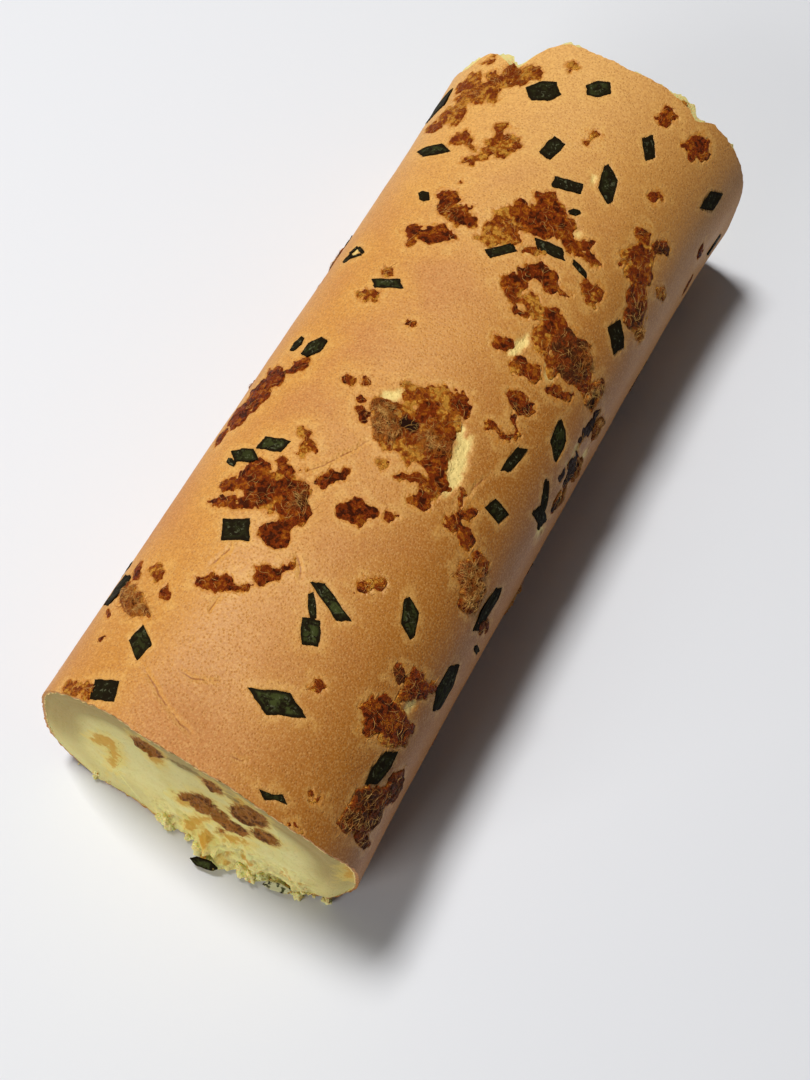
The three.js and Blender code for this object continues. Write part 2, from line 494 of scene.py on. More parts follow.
filling_marks = {"meat_gap": meat_beside, "stain_gap": stain_beside, "line_gap": line_beside}
sponge = rolled_body("sponge_crumb", sheet_gap, CRUMB_CELL, crumb_relief, {
    **filling_marks,
    "torn": lambda x, z, along: torn_foot(x, z),
    "under_skin": lambda x, z, along: -outside_gap(x, z),
})


def add_node(tree, kind, settings=(), **values):
    """A node in a tree, with its settings and with values or sockets on its inputs. An input
    goes by its name, or by its number after an i where several have the same name."""
    node = tree.nodes.new("ShaderNode" + kind)
    for name, setting in dict(settings).items():
        setattr(node, name, setting)
    for name, value in values.items():
        key = int(name[1:]) if name[1:].isdigit() else name.replace("_", " ")
        socket = node.inputs[key]
        if isinstance(value, bpy.types.NodeSocket):
            tree.links.new(value, socket)
        else:
            socket.default_value = value
    return node


def maths(tree, operation, first, second=0.0):
    return add_node(tree, "Math", {"operation": operation}, i0=first, i1=second).outputs[0]


def times(tree, first, second):
    return maths(tree, "MULTIPLY", first, second)


def plus(tree, first, second):
    return maths(tree, "ADD", first, second)


def between(tree, value, start, end, low=0.0, high=1.0):
    """low where the value is at start, high where it is at end, smooth between."""
    settings = {"interpolation_type": "SMOOTHSTEP"}
    node = add_node(
        tree, "MapRange", settings, Value=value,
        From_Min=start, From_Max=end, To_Min=low, To_Max=high,
    )
    return node.outputs[0]


def stretched(tree, source, factor, offset):
    """A vector enlarged by a factor, plus an offset."""
    settings = {"operation": "MULTIPLY_ADD"}
    factors = (factor, factor, factor)
    return add_node(tree, "VectorMath", settings, i0=source, i1=factors, i2=offset).outputs[0]


def mixed(tree, share, first, second, blend="MIX"):
    settings = {"data_type": "RGBA", "blend_type": blend}
    return add_node(tree, "Mix", settings, i0=share, i6=first, i7=second).outputs[2]


def tinted(tree, colour, tint, mask, strength=1.0):
    """A colour with a tint laid on it where the mask shows, at that strength."""
    if strength != 1:
        mask = times(tree, mask, strength)
    return mixed(tree, mask, colour, tint)


def spots(tree, place_on, scale, detail=2.0, roughness=0.5, distortion=0.0):
    node = add_node(
        tree, "TexNoise", Vector=place_on, Scale=scale, Detail=detail,
        Roughness=roughness, Distortion=distortion,
    )
    return node.outputs[0]


def new_material(name, **values):
    """A material with its tree, its object coordinates and its one shader."""
    material = bpy.data.materials.new(name)
    material.use_nodes = True
    tree = material.node_tree
    tree.nodes.clear()
    shader = add_node(tree, "BsdfPrincipled", **values)
    add_node(tree, "OutputMaterial", Surface=shader.outputs[0])
    coordinates = add_node(tree, "TexCoord").outputs["Object"]
    return material, tree, coordinates, shader


def join(tree, source, shader, socket):
    tree.links.new(source, shader.inputs[socket])


def bumped(tree, height, distance, strength=1.0):
    return add_node(tree, "Bump", Height=height, Distance=distance, Strength=strength).outputs[0]


def effect_group(name, mask):
    """A node group that reads a place and gives a mask and a height: the group, its entry
    and its two exits."""
    group = bpy.data.node_groups.new(name, "ShaderNodeTree")
    group.interface.new_socket("Place", in_out="INPUT", socket_type="NodeSocketVector")
    for output in (mask, "Height"):
        group.interface.new_socket(output, in_out="OUTPUT", socket_type="NodeSocketFloat")
    entry = group.nodes.new("NodeGroupInput").outputs[0]
    return group, entry, group.nodes.new("NodeGroupOutput").inputs


def effect_in(tree, group, place_on):
    """The mask and the height of an effect, on those coordinates of a material."""
    node = tree.nodes.new("ShaderNodeGroup")
    node.node_tree = group
    tree.links.new(place_on, node.inputs[0])
    return node.outputs[0], node.outputs[1]


def pore_group():
    """The open pores of sponge: a mask of holes and a height, for crumb wherever it shows."""
    group, entry, exits = effect_group("crumb_pores", "Holes")
    warp = add_node(group, "TexNoise", Vector=entry, Scale=700.0, Detail=2.0)
    bent = stretched(group, warp.outputs["Color"], 0.0009, entry)
    small = add_node(group, "TexVoronoi", Vector=bent, Scale=1150.0, Randomness=1.0).outputs[0]
    large = add_node(group, "TexVoronoi", Vector=bent, Scale=430.0, Randomness=1.0).outputs[0]
    small_hole = between(group, small, 0.42, 0.12)
    large_hole = between(group, large, 0.34, 0.10)
    grain = spots(group, entry, 2600.0, 3.0, 0.6)
    holes = maths(group, "MAXIMUM", times(group, small_hole, 0.7), large_hole)
    height = maths(group, "SUBTRACT", times(group, grain, 0.5), holes)
    group.links.new(holes, exits[0])
    group.links.new(height, exits[1])
    return group


crumb_pores = pore_group()


def fibre_group():
    """Tangled fibres: a mask of their crests and a height, for floss of every kind."""
    group, entry, exits = effect_group("floss_fibres", "Crests")
    first = spots(group, entry, 620.0, 2.0, 0.55, 2.2)
    second = spots(group, entry, 1500.0, 2.0, 0.55, 1.6)
    ridges = []
    for source, width in ((first, 0.075), (second, 0.11)):
        off_crest = maths(group, "ABSOLUTE", maths(group, "SUBTRACT", source, 0.5))
        ridges.append(between(group, off_crest, width, 0.0))
    crests = maths(group, "MAXIMUM", ridges[0], times(group, ridges[1], 0.6))
    height = plus(group, crests, spots(group, entry, 260.0, 3.0))
    group.links.new(crests, exits[0])
    group.links.new(height, exits[1])
    return group


floss_fibres = fibre_group()


def attribute(tree, name):
    return add_node(tree, "Attribute", {"attribute_name": name}).outputs["Fac"]


def millimetres(tree, name):
    return times(tree, attribute(tree, name), 1000.0)


CRUMB_PALE = (0.86, 0.775, 0.325, 1)
CRUMB_DEEP = (0.81, 0.70, 0.26, 1)
CRUMB_OUTER_SHADE = (0.43, 0.315, 0.105, 1)    # painted shade on the outer turn of the cut face, under the skin
CRUMB_UPPER_SHADE = (0.80, 0.78, 0.76, 1)        # painted shade: what the upper part of the cut face keeps of its colour
CRUMB_SMEARED = (0.78, 0.66, 0.30, 1)
# Painted shade in the open pores of the crumb
CRUMB_HOLE_SHADE = (0.68, 0.52, 0.17, 1)
CRUMB_TORN = (0.97, 0.87, 0.34, 1)
CRUMB_YELLOW = (0.90, 0.68, 0.15, 1)
CRUMB_STAINED = (0.70, 0.37, 0.045, 1)
TURN_LINE = (0.27, 0.18, 0.050, 1)
MEAT_RIM = (0.56, 0.30, 0.06, 1)
MEAT_LIGHT = (0.44, 0.155, 0.017, 1)
MEAT_DARK = (0.11, 0.028, 0.0035, 1)
MEAT_AMBER = (0.42, 0.155, 0.011, 1)
MEAT_CREST = (0.60, 0.30, 0.090, 1)


def plain_crumb(tree, coordinates):
    patches = between(tree, spots(tree, coordinates, 95.0, 3.0), 0.35, 0.7)
    return mixed(tree, patches, CRUMB_PALE, CRUMB_DEEP)


def with_face_shade(tree, coordinates, colour):
    """A colour of crumb with painted shade: a little greyer up the cut face."""
    _, along, up = add_node(tree, "SeparateXYZ", Vector=coordinates).outputs
    at_cut = between(tree, along, -0.050, -0.110)
    face_shade = times(tree, between(tree, up, 0.012, 0.062), at_cut)
    return mixed(tree, face_shade, colour, CRUMB_UPPER_SHADE, "MULTIPLY")


def with_filling(tree, coordinates, colour):
    """A colour of crumb made yellow round the filling, orange where its fat soaked in, and
    brown where its meat shows, with the mask of the meat and the height of its fibres."""
    meat_gap, stain_gap = millimetres(tree, "meat_gap"), millimetres(tree, "stain_gap")
    coarse = between(tree, spots(tree, coordinates, 240.0, 4.0, 0.65), 0.3, 0.7, -1.8, 1.8)
    fine = between(tree, spots(tree, coordinates, 620.0, 4.0, 0.65), 0.3, 0.7, -0.8, 0.8)
    either = maths(tree, "MINIMUM", meat_gap, stain_gap)
    yellow = between(tree, plus(tree, either, coarse), 4.0, 0.2, 0.0, 0.60)
    colour = mixed(tree, yellow, colour, CRUMB_YELLOW)
    ragged = plus(tree, times(tree, coarse, 0.5), fine)
    soaked = between(tree, plus(tree, stain_gap, ragged), 0.9, -0.9, 0.0, 0.9)
    colour = mixed(tree, soaked, colour, CRUMB_STAINED)
    streaks = between(tree, spots(tree, coordinates, 300.0, 3.0), 0.32, 0.56, 0.35, 0.95)
    line = between(tree, plus(tree, millimetres(tree, "line_gap"), fine), 0.6, -0.5)
    colour = mixed(tree, times(tree, line, streaks), colour, TURN_LINE)
    rim = between(tree, plus(tree, meat_gap, ragged), 1.6, -0.2, 0.0, 0.85)
    colour = mixed(tree, rim, colour, MEAT_RIM)
    crests, height = effect_in(tree, floss_fibres, coordinates)
    darker = between(tree, spots(tree, coordinates, 430.0, 4.0, 0.65), 0.44, 0.58)
    meat = mixed(tree, darker, MEAT_LIGHT, MEAT_DARK)
    amber = between(tree, spots(tree, coordinates, 150.0, 3.0, 0.6), 0.50, 0.58)
    meat = tinted(tree, meat, MEAT_AMBER, amber, 0.7)
    meat = tinted(tree, meat, MEAT_CREST, crests, 0.36)
    shows = between(tree, plus(tree, meat_gap, fine), 0.55, -0.30)
    return mixed(tree, shows, colour, meat), shows, times(tree, height, shows)


crumb_material, tree, coordinates, shader = new_material(
    "sponge_crumb", Roughness=0.8,
    **{"Specular_IOR_Level": 0.2, "Subsurface_Weight": 0.25, "Subsurface_Scale": 0.002}
)
holes, height = effect_in(tree, crumb_pores, coordinates)
torn = attribute(tree, "torn")
colour = plain_crumb(tree, coordinates)
under_skin = attribute(tree, "under_skin")
_, along, height_up = add_node(tree, "SeparateXYZ", Vector=coordinates).outputs
# Painted shade on the outer turn under the skin, strongest high up the cut face and at the cut end
outer = between(tree, under_skin, 0.0170, 0.0085)
outer = times(tree, outer, between(tree, height_up, 0.004, 0.034, 0.20, 1.0))
outer = times(tree, outer, between(tree, along, 0.0, -0.10, 0.25, 1.0))
colour = tinted(tree, colour, CRUMB_OUTER_SHADE, outer, 0.95)
layer = add_node(tree, "CombineXYZ", X=times(tree, under_skin, 380.0)).outputs[0]
drawn = stretched(tree, coordinates, 14.0, layer)       # smears that follow the turns
smears = between(tree, spots(tree, drawn, 1.0, 2.0), 0.42, 0.62)
colour = tinted(tree, colour, CRUMB_SMEARED, smears, 0.14)
tufts = between(tree, spots(tree, coordinates, 300.0, 3.0), 0.35, 0.62)
colour = mixed(tree, times(tree, torn, tufts), colour, CRUMB_TORN)
# Painted shade in the pores
colour = tinted(tree, colour, CRUMB_HOLE_SHADE, holes, 0.18)
dabs = times(tree, torn, between(tree, spots(tree, coordinates, 210.0, 3.0), 0.58, 0.66))
colour = tinted(tree, colour, CRUMB_STAINED, dabs, 0.8)
colour, shows, fibres = with_filling(tree, coordinates, colour)
# Painted shade up the cut face
join(tree, with_face_shade(tree, coordinates, colour), shader, "Base Color")
height = times(tree, height, maths(tree, "SUBTRACT", 1.0, shows))
join(tree, bumped(tree, plus(tree, height, fibres), 0.0004, 0.5), shader, "Normal")
sponge.data.materials.append(crumb_material)

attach(sponge, "root")
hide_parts("sponge_sheet")


# ---- The filling --------------------------------------------------------------------------
# Meat floss bound with cream, spread thin on the sheet and heaped where the rolling starts.
# It runs through the roll between the turns, and the cut leaves its fibres standing.
FILLING_CELL = 0.00045


def filling_relief(x, z, along):
    """The ends of the filling lie as the crumb does, but its meat stands in tufts."""
    if along == 0:
        return cut_relief(x, z)
    tufted = heaped(x, z) * fade(-filling_gap(x, z), 0.0, 0.0016)
    return end_face(x, z, along) - FILLING_DIP * heaped(x, z) + tufted * meat_tufts(x, z, along)


filling = rolled_body(
    "floss_layer", filling_gap, FILLING_CELL, filling_relief, filling_marks
)

filling_material, tree, coordinates, shader = new_material(
    "floss_filling", Roughness=0.7,
    **{"Specular_IOR_Level": 0.1, "Subsurface_Weight": 0.2, "Subsurface_Scale": 0.0015}
)
colour = plain_crumb(tree, coordinates)
colour, _, fibres = with_filling(tree, coordinates, colour)
# Painted shade up the cut face
join(tree, with_face_shade(tree, coordinates, colour), shader, "Base Color")
join(tree, bumped(tree, fibres, 0.0004, 0.5), shader, "Normal")
filling.data.materials.append(filling_material)

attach(filling, "root")
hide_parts("floss_filling")


# ---- Meat floss baked into the sheet ------------------------------------------------------
# Before the batter is poured, dried meat floss is scattered on the baking paper. It comes out
# set in the skin, in ragged clumps browned where the paper held them down.
FLOSS_CELL = 0.00042
FLOSS_SET = 0.00005       # depth of its face under the skin's
FLOSS_ROOT = 0.0011       # depth that it reaches down to
FLOSS_BLEND = 0.0013      # how softly neighbouring ovals run together
FLOSS_REACH = 0.016       # past this distance from every oval a place counts as clear
FLOSS_KEPT = 0.0002       # how far past its edge the clump's mesh goes on
FLOSS_BURIED_BEND = radians(6)    # buried faces that bend less than this become one
FACING_LEAST = 0.3        # keeps ovals near the edge of the view from stretching out
ROUND_RADIUS = 0.046      # mean radius of the roll, for distances round it

# Each kind's shade, from gold below 0 to burnt past 1.5, its share of loose fibres, the height
# of its heap, and how far its edge is broken up. The later kinds lie on the earlier ones
FLOSS_KINDS = {
    "golden": (-0.14, 0.30, 0.00005, 0.0023),
    "amber": (0.04, 0.32, 0.00005, 0.0013),
    "orange": (0.16, 0.25, 0.00012, 0.0021),
    "frayed": (0.34, 1.00, 0.00030, 0.0016),
    "tangled": (0.52, 0.85, 0.00045, 0.0006),
    "ruddy": (0.66, 0.08, 0.00010, 0.0006),
    "brown": (0.55, 0.18, 0.00018, 0.0006),
    "fibrous": (0.48, 1.00, 0.00055, 0.0006),
    "dark": (0.92, 0.42, 0.00035, 0.0006),
    "black": (1.60, 0.15, 0.00010, 0.0004),
}
FLOSS_GROWTH = 0.0002     # how far each oval is larger than it is given here
# Ovals of floss, each by the pixel of its centre, its half length and half width in pixels,
# and the turn of its length from the picture's right towards its foot, in degrees, if it has one
FLOSS_OVALS = {
    "golden": (
        (482, 92, 24, 8, -25), (516, 76, 18, 7, -15), (452, 112, 18, 6, -40),
        (500, 145, 20, 12, -20),
    ),
    "amber": (
        (406, 386, 12, 4, 10), (416, 448, 22, 16, 20), (384, 464, 7, 5), (473, 147, 5, 4),
        (453, 210, 6, 4), (570, 66, 7, 4, -10), (386, 272, 5, 6), (70, 689, 10, 7),
        (84, 691, 9, 8), (395, 741, 12, 6), (317, 799, 6, 5), (688, 99, 6, 4),
        (662, 294, 8, 5, 90), (538, 308, 20, 10, 35), (543, 338, 18, 11, 80),
        (552, 365, 12, 9, 60), (394, 411, 24, 11, 15), (430, 398, 24, 14), (447, 422, 18, 13, 90),
        (435, 452, 21, 14, 100), (396, 440, 20, 14, 30), (433, 488, 14, 10), (422, 432, 13, 9),
        (524, 218, 30, 14, 10), (558, 218, 16, 12, 60), (498, 236, 24, 8), (458, 215, 16, 9, 10),
        (262, 488, 28, 18, 60), (290, 500, 20, 16, 90), (640, 265, 14, 24, 10), (638, 308, 10, 22),
        (388, 718, 22, 17), (417, 688, 16, 10, -20), (370, 812, 20, 16, 110),
        (131, 598, 16, 10, 60), (470, 580, 18, 11, 80), (520, 286, 18, 8, 120),
        (518, 366, 12, 8, 20), (534, 250, 14, 5, 10),
    ),
    "orange": (
        (503, 145, 16, 11, -20), (501, 129, 9, 5, -10), (515, 139, 8, 6, 90),
        (532, 74, 12, 7, -15), (520, 78, 10, 8), (509, 72, 8, 8), (495, 77, 9, 6, -20),
        (503, 79, 8, 6), (473, 80, 9, 8, -50), (464, 87, 9, 7, -50), (492, 95, 9, 8),
        (479, 97, 10, 5, -25), (460, 100, 7, 5, -10), (489, 62, 6, 4, -30), (455, 116, 13, 7, -35),
        (434, 126, 12, 4, -40), (461, 138, 13, 6, -15), (476, 158, 18, 5, -8),
        (592, 137, 9, 6, -60), (500, 230, 20, 9), (564, 231, 10, 8, -30), (592, 293, 14, 12, 80),
        (371, 294, 14, 5, -3), (304, 432, 6, 5), (307, 446, 9, 8), (304, 469, 5, 4),
        (462, 497, 9, 3.5, 75), (375, 583, 8, 5, 10), (157, 571, 8, 8), (297, 827, 5, 5),
        (315, 683, 6, 6), (626, 259, 8, 6, 90),
    ),
    "frayed": (
        (594, 396, 17, 7, 112), (597, 428, 14, 4, 118), (559, 500, 14, 4, 120),
        (576, 470, 14, 4, 112),
    ),
    "tangled": (
        (385, 409, 11, 6, 10), (437, 442, 16, 13, 20), (129, 601, 13, 11, 60),
        (142, 614, 12, 6, 30),
    ),
    "brown": (
        (447, 198, 11, 9, -20), (441, 211, 7, 4, 100), (463, 216, 14, 8, 15), (412, 231, 9, 8),
        (435, 235, 17, 9), (409, 243, 6, 5), (453, 237, 5, 3, 20), (522, 211, 11, 10),
        (546, 201, 13, 11, 60), (543, 222, 22, 16, 10), (571, 246, 8, 6), (586, 244, 7, 6),
        (588, 258, 15, 5, 25), (510, 283, 12, 11, 120), (533, 271, 13, 9, 10),
        (550, 281, 12, 9, 40), (566, 294, 6, 4, 50), (518, 313, 8, 4, 30), (557, 324, 14, 12, 60),
        (584, 382, 12, 9, 70), (502, 342, 11, 8, -15), (518, 361, 10, 6, -15),
        (533, 373, 12, 7, 55), (518, 398, 9, 9, 60), (525, 407, 11, 8, 20), (495, 430, 10, 4, 30),
        (510, 438, 10, 4, -5), (516, 424, 10, 2.5, 80), (561, 393, 16, 5, 15),
        (644, 234, 9, 7, 90), (639, 255, 10, 9), (641, 277, 12, 11), (636, 296, 11, 10),
        (275, 375, 12, 9, 120), (257, 395, 18, 8, 125), (239, 415, 16, 6, 125),
        (220, 438, 12, 3.5, 125), (298, 366, 12, 6, -30), (347, 380, 6, 6), (364, 380, 4, 3),
        (363, 399, 6, 6), (363, 415, 9, 8), (427, 415, 13, 11), (445, 432, 11, 10),
        (434, 464, 14, 11, 100), (436, 483, 11, 10), (411, 479, 17, 5, 5), (422, 502, 13, 10, -10),
        (460, 400, 8, 7), (463, 412, 7, 7), (259, 470, 12, 8, -60), (255, 483, 20, 14, 90),
        (233, 483, 12, 8), (222, 501, 12, 6), (255, 501, 18, 8), (284, 469, 10, 8, 90),
        (302, 491, 12, 9, 90), (284, 491, 14, 12), (292, 513, 16, 13), (275, 534, 15, 14),
        (333, 477, 18, 6, -20), (357, 511, 19, 12, 10), (389, 514, 6, 5), (216, 583, 22, 7, 5),
        (265, 575, 15, 10), (282, 569, 14, 4, -25), (245, 585, 6, 4), (362, 589, 8, 8),
        (453, 522, 10, 8, -30), (469, 513, 12, 6, -25), (465, 538, 14, 7, 80),
        (482, 562, 12, 8, 70), (469, 605, 8, 7), (166, 592, 9, 4, 100), (136, 573, 9, 4, 118),
        (102, 636, 5, 3, -40), (108, 613, 6, 3, 110), (424, 688, 12, 9), (409, 693, 11, 6, -45),
        (417, 678, 8, 6), (381, 713, 17, 16), (400, 729, 14, 14), (367, 731, 6, 5),
        (698, 147, 13, 12, 50), (667, 116, 10, 9, 20), (655, 196, 8, 7), (410, 324, 3, 3),
        (461, 181, 4, 2.5), (701, 252, 8, 2, 105), (687, 286, 10, 2, 115),
    ),
    "ruddy": (
        (427, 414, 10, 10), (437, 484, 10, 9, 60), (537, 270, 12, 7, 15), (463, 411, 6, 4, 90),
        (357, 511, 13, 8, 10), (262, 492, 9, 7, 90), (286, 520, 8, 12, 10), (213, 582, 16, 3.5, 5),
        (411, 479, 14, 3.5, 5),
    ),
    "fibrous": (
        (385, 427, 15, 12, 15), (586, 356, 15, 5, 70), (639, 334, 8, 4, 90),
        (473, 585, 22, 14, 80),
    ),
    "dark": (
        (569, 347, 18, 16, 65), (572, 368, 16, 13, 70), (661, 248, 9, 9), (634, 313, 14, 10, 90),
        (302, 501, 12, 7, 90), (598, 390, 10, 3, 115), (398, 675, 8, 8), (356, 809, 14, 8, 110),
        (367, 809, 20, 10, 115), (378, 798, 14, 10, 120), (359, 823, 12, 12), (364, 841, 8, 6),
        (374, 816, 14, 8, 110), (396, 788, 18, 7, 115), (343, 826, 5, 4), (484, 626, 8, 5, 110),
    ),
    "black": (
        (409, 426, 7.5, 6.5, 20), (589.5, 427, 21, 2.4, 120), (603, 425, 3.5, 2.5, 100),
        (571, 471, 16, 3.5, 112), (561.5, 475, 8.5, 2, 108), (590, 404, 7, 2.5, 115),
        (556, 504, 9, 1.6, 120),
    ),
}
VECTOR_SEED = 7           # noise vectors come out the same on every run only if they are seeded
# Where the view doesn't reach: heaps of a few ovals each, scattered by chance
HIDDEN_HEAPS = 46
HEAP_OVALS = (1, 5)
HEAP_SPREAD = 0.0045
OVAL_SIZES = (0.0010, 0.0040)


def section_normal(x, z):
    if z <= 0:
        return Vector((0, 0, -1))
    above = z > MIDDLE_HEIGHT
    power = (POWER_ABOVE if above else POWER_BELOW) - 1
    across = abs(x / HALF_WIDTH) ** power / HALF_WIDTH
    up = abs((z - MIDDLE_HEIGHT) / HALF_RISE) ** power / HALF_RISE
    return Vector((across if x > 0 else -across, 0, up if above else -up)).normalized()


def on_roll(angle, share, lift=0.0):
    """A point over the roll's outside, by the direction round it and the share along it."""
    reach = section_reach(angle)
    x, z = reach * cos(angle), max(MIDDLE_HEIGHT + reach * sin(angle), 0.0)
    normal = section_normal(x, z)
    x, z = x + normal.x * lift, max(z + normal.z * lift, 0.0)
    y = front_end(x, z) * (1 - share) + back_end(x, z) * share
    return Vector((flared(x, y, z), y, z))


def where_on_roll(point):
    x, z = unflared(point), point.z
    front, back = front_end(x, z), back_end(x, z)
    return atan2(z - MIDDLE_HEIGHT, x), min(max((point.y - front) / (back - front), 0.0), 1.0)


def roll_normal(point):
    return section_normal(unflared(point), point.z)


def meet_roll(x, y):
    """Where the ray of a pixel meets the roll, or comes closest to it."""
    ray = pixel_ray(x, y)
    reach, closest, best = RAY_START, 1.0, 0.0
    while reach < RAY_END:
        spot = CAMERA_PLACE + ray * reach
        gap = outside_gap(unflared(spot), spot.z)
        if gap < closest:
            closest, best = gap, reach
        if gap < RAY_STEP / 4:
            break
        reach += max(gap * 0.8, RAY_STEP)
    angle, share = where_on_roll(CAMERA_PLACE + ray * best)
    return on_roll(angle, share)


def oval_in_view(x, y, half_length, half_width, turn=0):
    centre, ray = meet_roll(x, y), pixel_ray(x, y)
    normal = roll_normal(centre)
    pixel = (centre - CAMERA_PLACE).dot(view_ahead) / PIXELS_AWAY
    facing = min(ray.dot(normal), -FACING_LEAST)
    axes = []
    for half, heading in ((half_length, radians(turn)), (half_width, radians(turn + 90))):
        seen = (view_right * cos(heading) + view_down * sin(heading)) * half * pixel
        laid = seen - ray * (seen.dot(normal) / facing)
        axes.append(laid - normal * laid.dot(normal))
    return Oval(centre, *axes)


def oval_on_sheet(angle, share, half_length, half_width, turn):
    centre = on_roll(angle, share)
    round_way = (on_roll(angle + 0.01, share) - centre).normalized()
    long_way = Vector((0, 1, 0))
    long_axis = (long_way * cos(turn) + round_way * sin(turn)) * half_length
    wide_axis = (round_way * cos(turn) - long_way * sin(turn)) * half_width
    return Oval(centre, long_axis, wide_axis)


def faces_away(point):
    return (point - CAMERA_PLACE).normalized().dot(roll_normal(point)) > 0.04


def hidden_place(chance):
    """A place of the outside that the view doesn't reach, off the flat underside."""
    while True:
        angle, share = radians(chance.uniform(-52, 232)), chance.uniform(0.015, 0.985)
        if faces_away(on_roll(angle, share)):
            return angle, share


noise.seed_set(VECTOR_SEED)
floss_ovals = [
    (oval_in_view(*oval), FLOSS_KINDS[kind]) for kind, ovals in FLOSS_OVALS.items() for oval in ovals
]
chance = random.Random(11)
for _ in range(HIDDEN_HEAPS):
    angle, share = hidden_place(chance)
    kind = FLOSS_KINDS[chance.choice(("brown", "brown", "brown", "fibrous", "dark", "amber"))]
    for _ in range(chance.randint(*HEAP_OVALS)):
        near_angle = angle + chance.gauss(0, HEAP_SPREAD / ROUND_RADIUS)
        near_share = min(max(share + chance.gauss(0, HEAP_SPREAD / HALF_LENGTH / 2), 0.004), 0.99)
        size = chance.uniform(*OVAL_SIZES)
        if faces_away(on_roll(near_angle, near_share)):
            floss_ovals.append((
                oval_on_sheet(near_angle, near_share, size, size * chance.uniform(0.45, 0.9),
                              chance.uniform(0, pi)),
                kind,
            ))
floss_tree = tree_of([oval.centre for oval, _ in floss_ovals])


def soft_least(first, second, softness):
    overlap = max(softness - abs(first - second), 0.0) / softness
    return min(first, second) - overlap * overlap * softness / 4


def floss_at(point, reach=0.0095):
    """Distance to the edge of the floss, negative in it, and its shade, fibre and heap."""
    ragged = noise.noise_vector(point * 240) * 0.0017 + noise.noise_vector(point * 700) * 0.0010
    spot = point + ragged
    nearest, traits = FLOSS_REACH, FLOSS_KINDS["amber"]
    for index in sorted(index for _, index, _ in floss_tree.find_range(spot, reach)):
        oval, kind = floss_ovals[index]
        distance = oval.distance(spot) - FLOSS_GROWTH
        nearest = soft_least(nearest, distance, FLOSS_BLEND)
        cover = fade(-distance, -0.0005, 0.0004)
        traits = [under + (over - under) * cover for under, over in zip(traits, kind)]
    *traits, broken = traits
    nearest += broken * noise.noise(point * 430) + 0.00040 * noise.noise(point * 1500)
    return nearest, *traits


def floss_lift(point, distance, fibre, heap):
    """Height of the floss over the roll's outside: rough within, under the skin outside."""
    inside = fade(-distance, -0.0003, 0.0004)
    deep = fade(-distance, 0.0, 0.0016)
    tangle = 1 - 2 * abs(noise.noise(point * 620 + noise.noise_vector(point * 240) * 2.2))
    fine = noise.noise(point * 1500)
    relief = 0.00012 * tangle + 0.00006 * fine + fibre * (0.00042 * tangle + 0.00018 * fine)
    top = heap * deep + relief * (0.4 + 0.6 * deep) - FLOSS_SET
    return top * inside - FLOSS_ROOT * 0.8 * (1 - inside)


bm = bmesh.new()
columns, rows = round(2 * pi * ROUND_RADIUS / FLOSS_CELL), round(2 * HALF_LENGTH / FLOSS_CELL)
bmesh.ops.create_grid(bm, x_segments=columns, y_segments=rows, size=0.5)
layers = [bm.verts.layers.float.new(name) for name in ("edge", "shade", "fibre", "heap")]
for vert in bm.verts:
    angle, share = (vert.co.x + 0.5) * 2 * pi - pi / 2, min(max(vert.co.y + 0.5, 0.001), 0.997)
    vert.co = Vector((angle, share, 0))
    for layer, value in zip(layers, floss_at(on_roll(angle, share))):
        vert[layer] = value
bmesh.ops.remove_doubles(bm, verts=bm.verts, dist=0.00001)
clear = [face for face in bm.faces if all(vert[layers[0]] > FLOSS_KEPT for vert in face.verts)]
bmesh.ops.delete(bm, geom=clear, context="FACES")
while touching := corners_that_touch(bm):
    bmesh.ops.delete(bm, geom=touching, context="FACES")
drawn = bmesh.ops.extrude_face_region(bm, geom=bm.faces[:])["geom"]
upper = {item for item in drawn if isinstance(item, bmesh.types.BMVert)}
for vert in bm.verts:
    angle, share, _ = vert.co
    lift = -FLOSS_ROOT
    if vert in upper:
        edge, _, fibre, heap = (vert[layer] for layer in layers)
        lift = max(floss_lift(on_roll(angle, share), edge, fibre, heap), -FLOSS_ROOT * 0.9)
    vert.co = on_roll(angle, share, lift)
turn_outwards(bm)
bmesh.ops.dissolve_limit(
    bm, angle_limit=FLOSS_BURIED_BEND,
    verts=[vert for vert in bm.verts if vert not in upper],
    edges=[edge for edge in bm.edges if upper.isdisjoint(edge.verts)],
)
baked_floss = made_piece("baked_floss", bm)

FLOSS_DARK = (0.085, 0.011, 0.002, 1)
FLOSS_BROWN = (0.300, 0.042, 0.003, 1)
FLOSS_AMBER = (0.54, 0.140, 0.008, 1)
FLOSS_GOLD = (0.88, 0.40, 0.052, 1)
FLOSS_HALO = (0.78, 0.38, 0.075, 1)
FLOSS_CREST = (0.80, 0.37, 0.090, 1)
FLOSS_BURNT = (0.036, 0.011, 0.005, 1)
floss_material, tree, coordinates, shader = new_material(
    "baked_floss", Roughness=0.5, **{"Specular_IOR_Level": 0.08}
)
crests, height = effect_in(tree, floss_fibres, coordinates)
lobes = between(tree, spots(tree, coordinates, 230.0, 3.0, 0.6), 0.44, 0.56, -0.30, 0.26)
bits = between(tree, spots(tree, coordinates, 700.0, 3.0, 0.6), 0.42, 0.58, -0.20, 0.24)
shade = plus(tree, attribute(tree, "shade"), plus(tree, lobes, bits))
ragged = between(tree, spots(tree, coordinates, 800.0, 3.0, 0.6), 0.3, 0.7, -0.45, 0.45)
edge_in = plus(tree, times(tree, attribute(tree, "edge"), -1000.0), ragged)
thin = between(tree, edge_in, 0.9, -0.1)
shade = maths(tree, "SUBTRACT", shade, times(tree, thin, 0.22))
colour = mixed(tree, between(tree, shade, -0.30, 0.05), FLOSS_GOLD, FLOSS_AMBER)
colour = mixed(tree, between(tree, shade, 0.08, 0.42), colour, FLOSS_BROWN)
colour = mixed(tree, between(tree, shade, 0.60, 1.0), colour, FLOSS_DARK)
fibre = attribute(tree, "fibre")
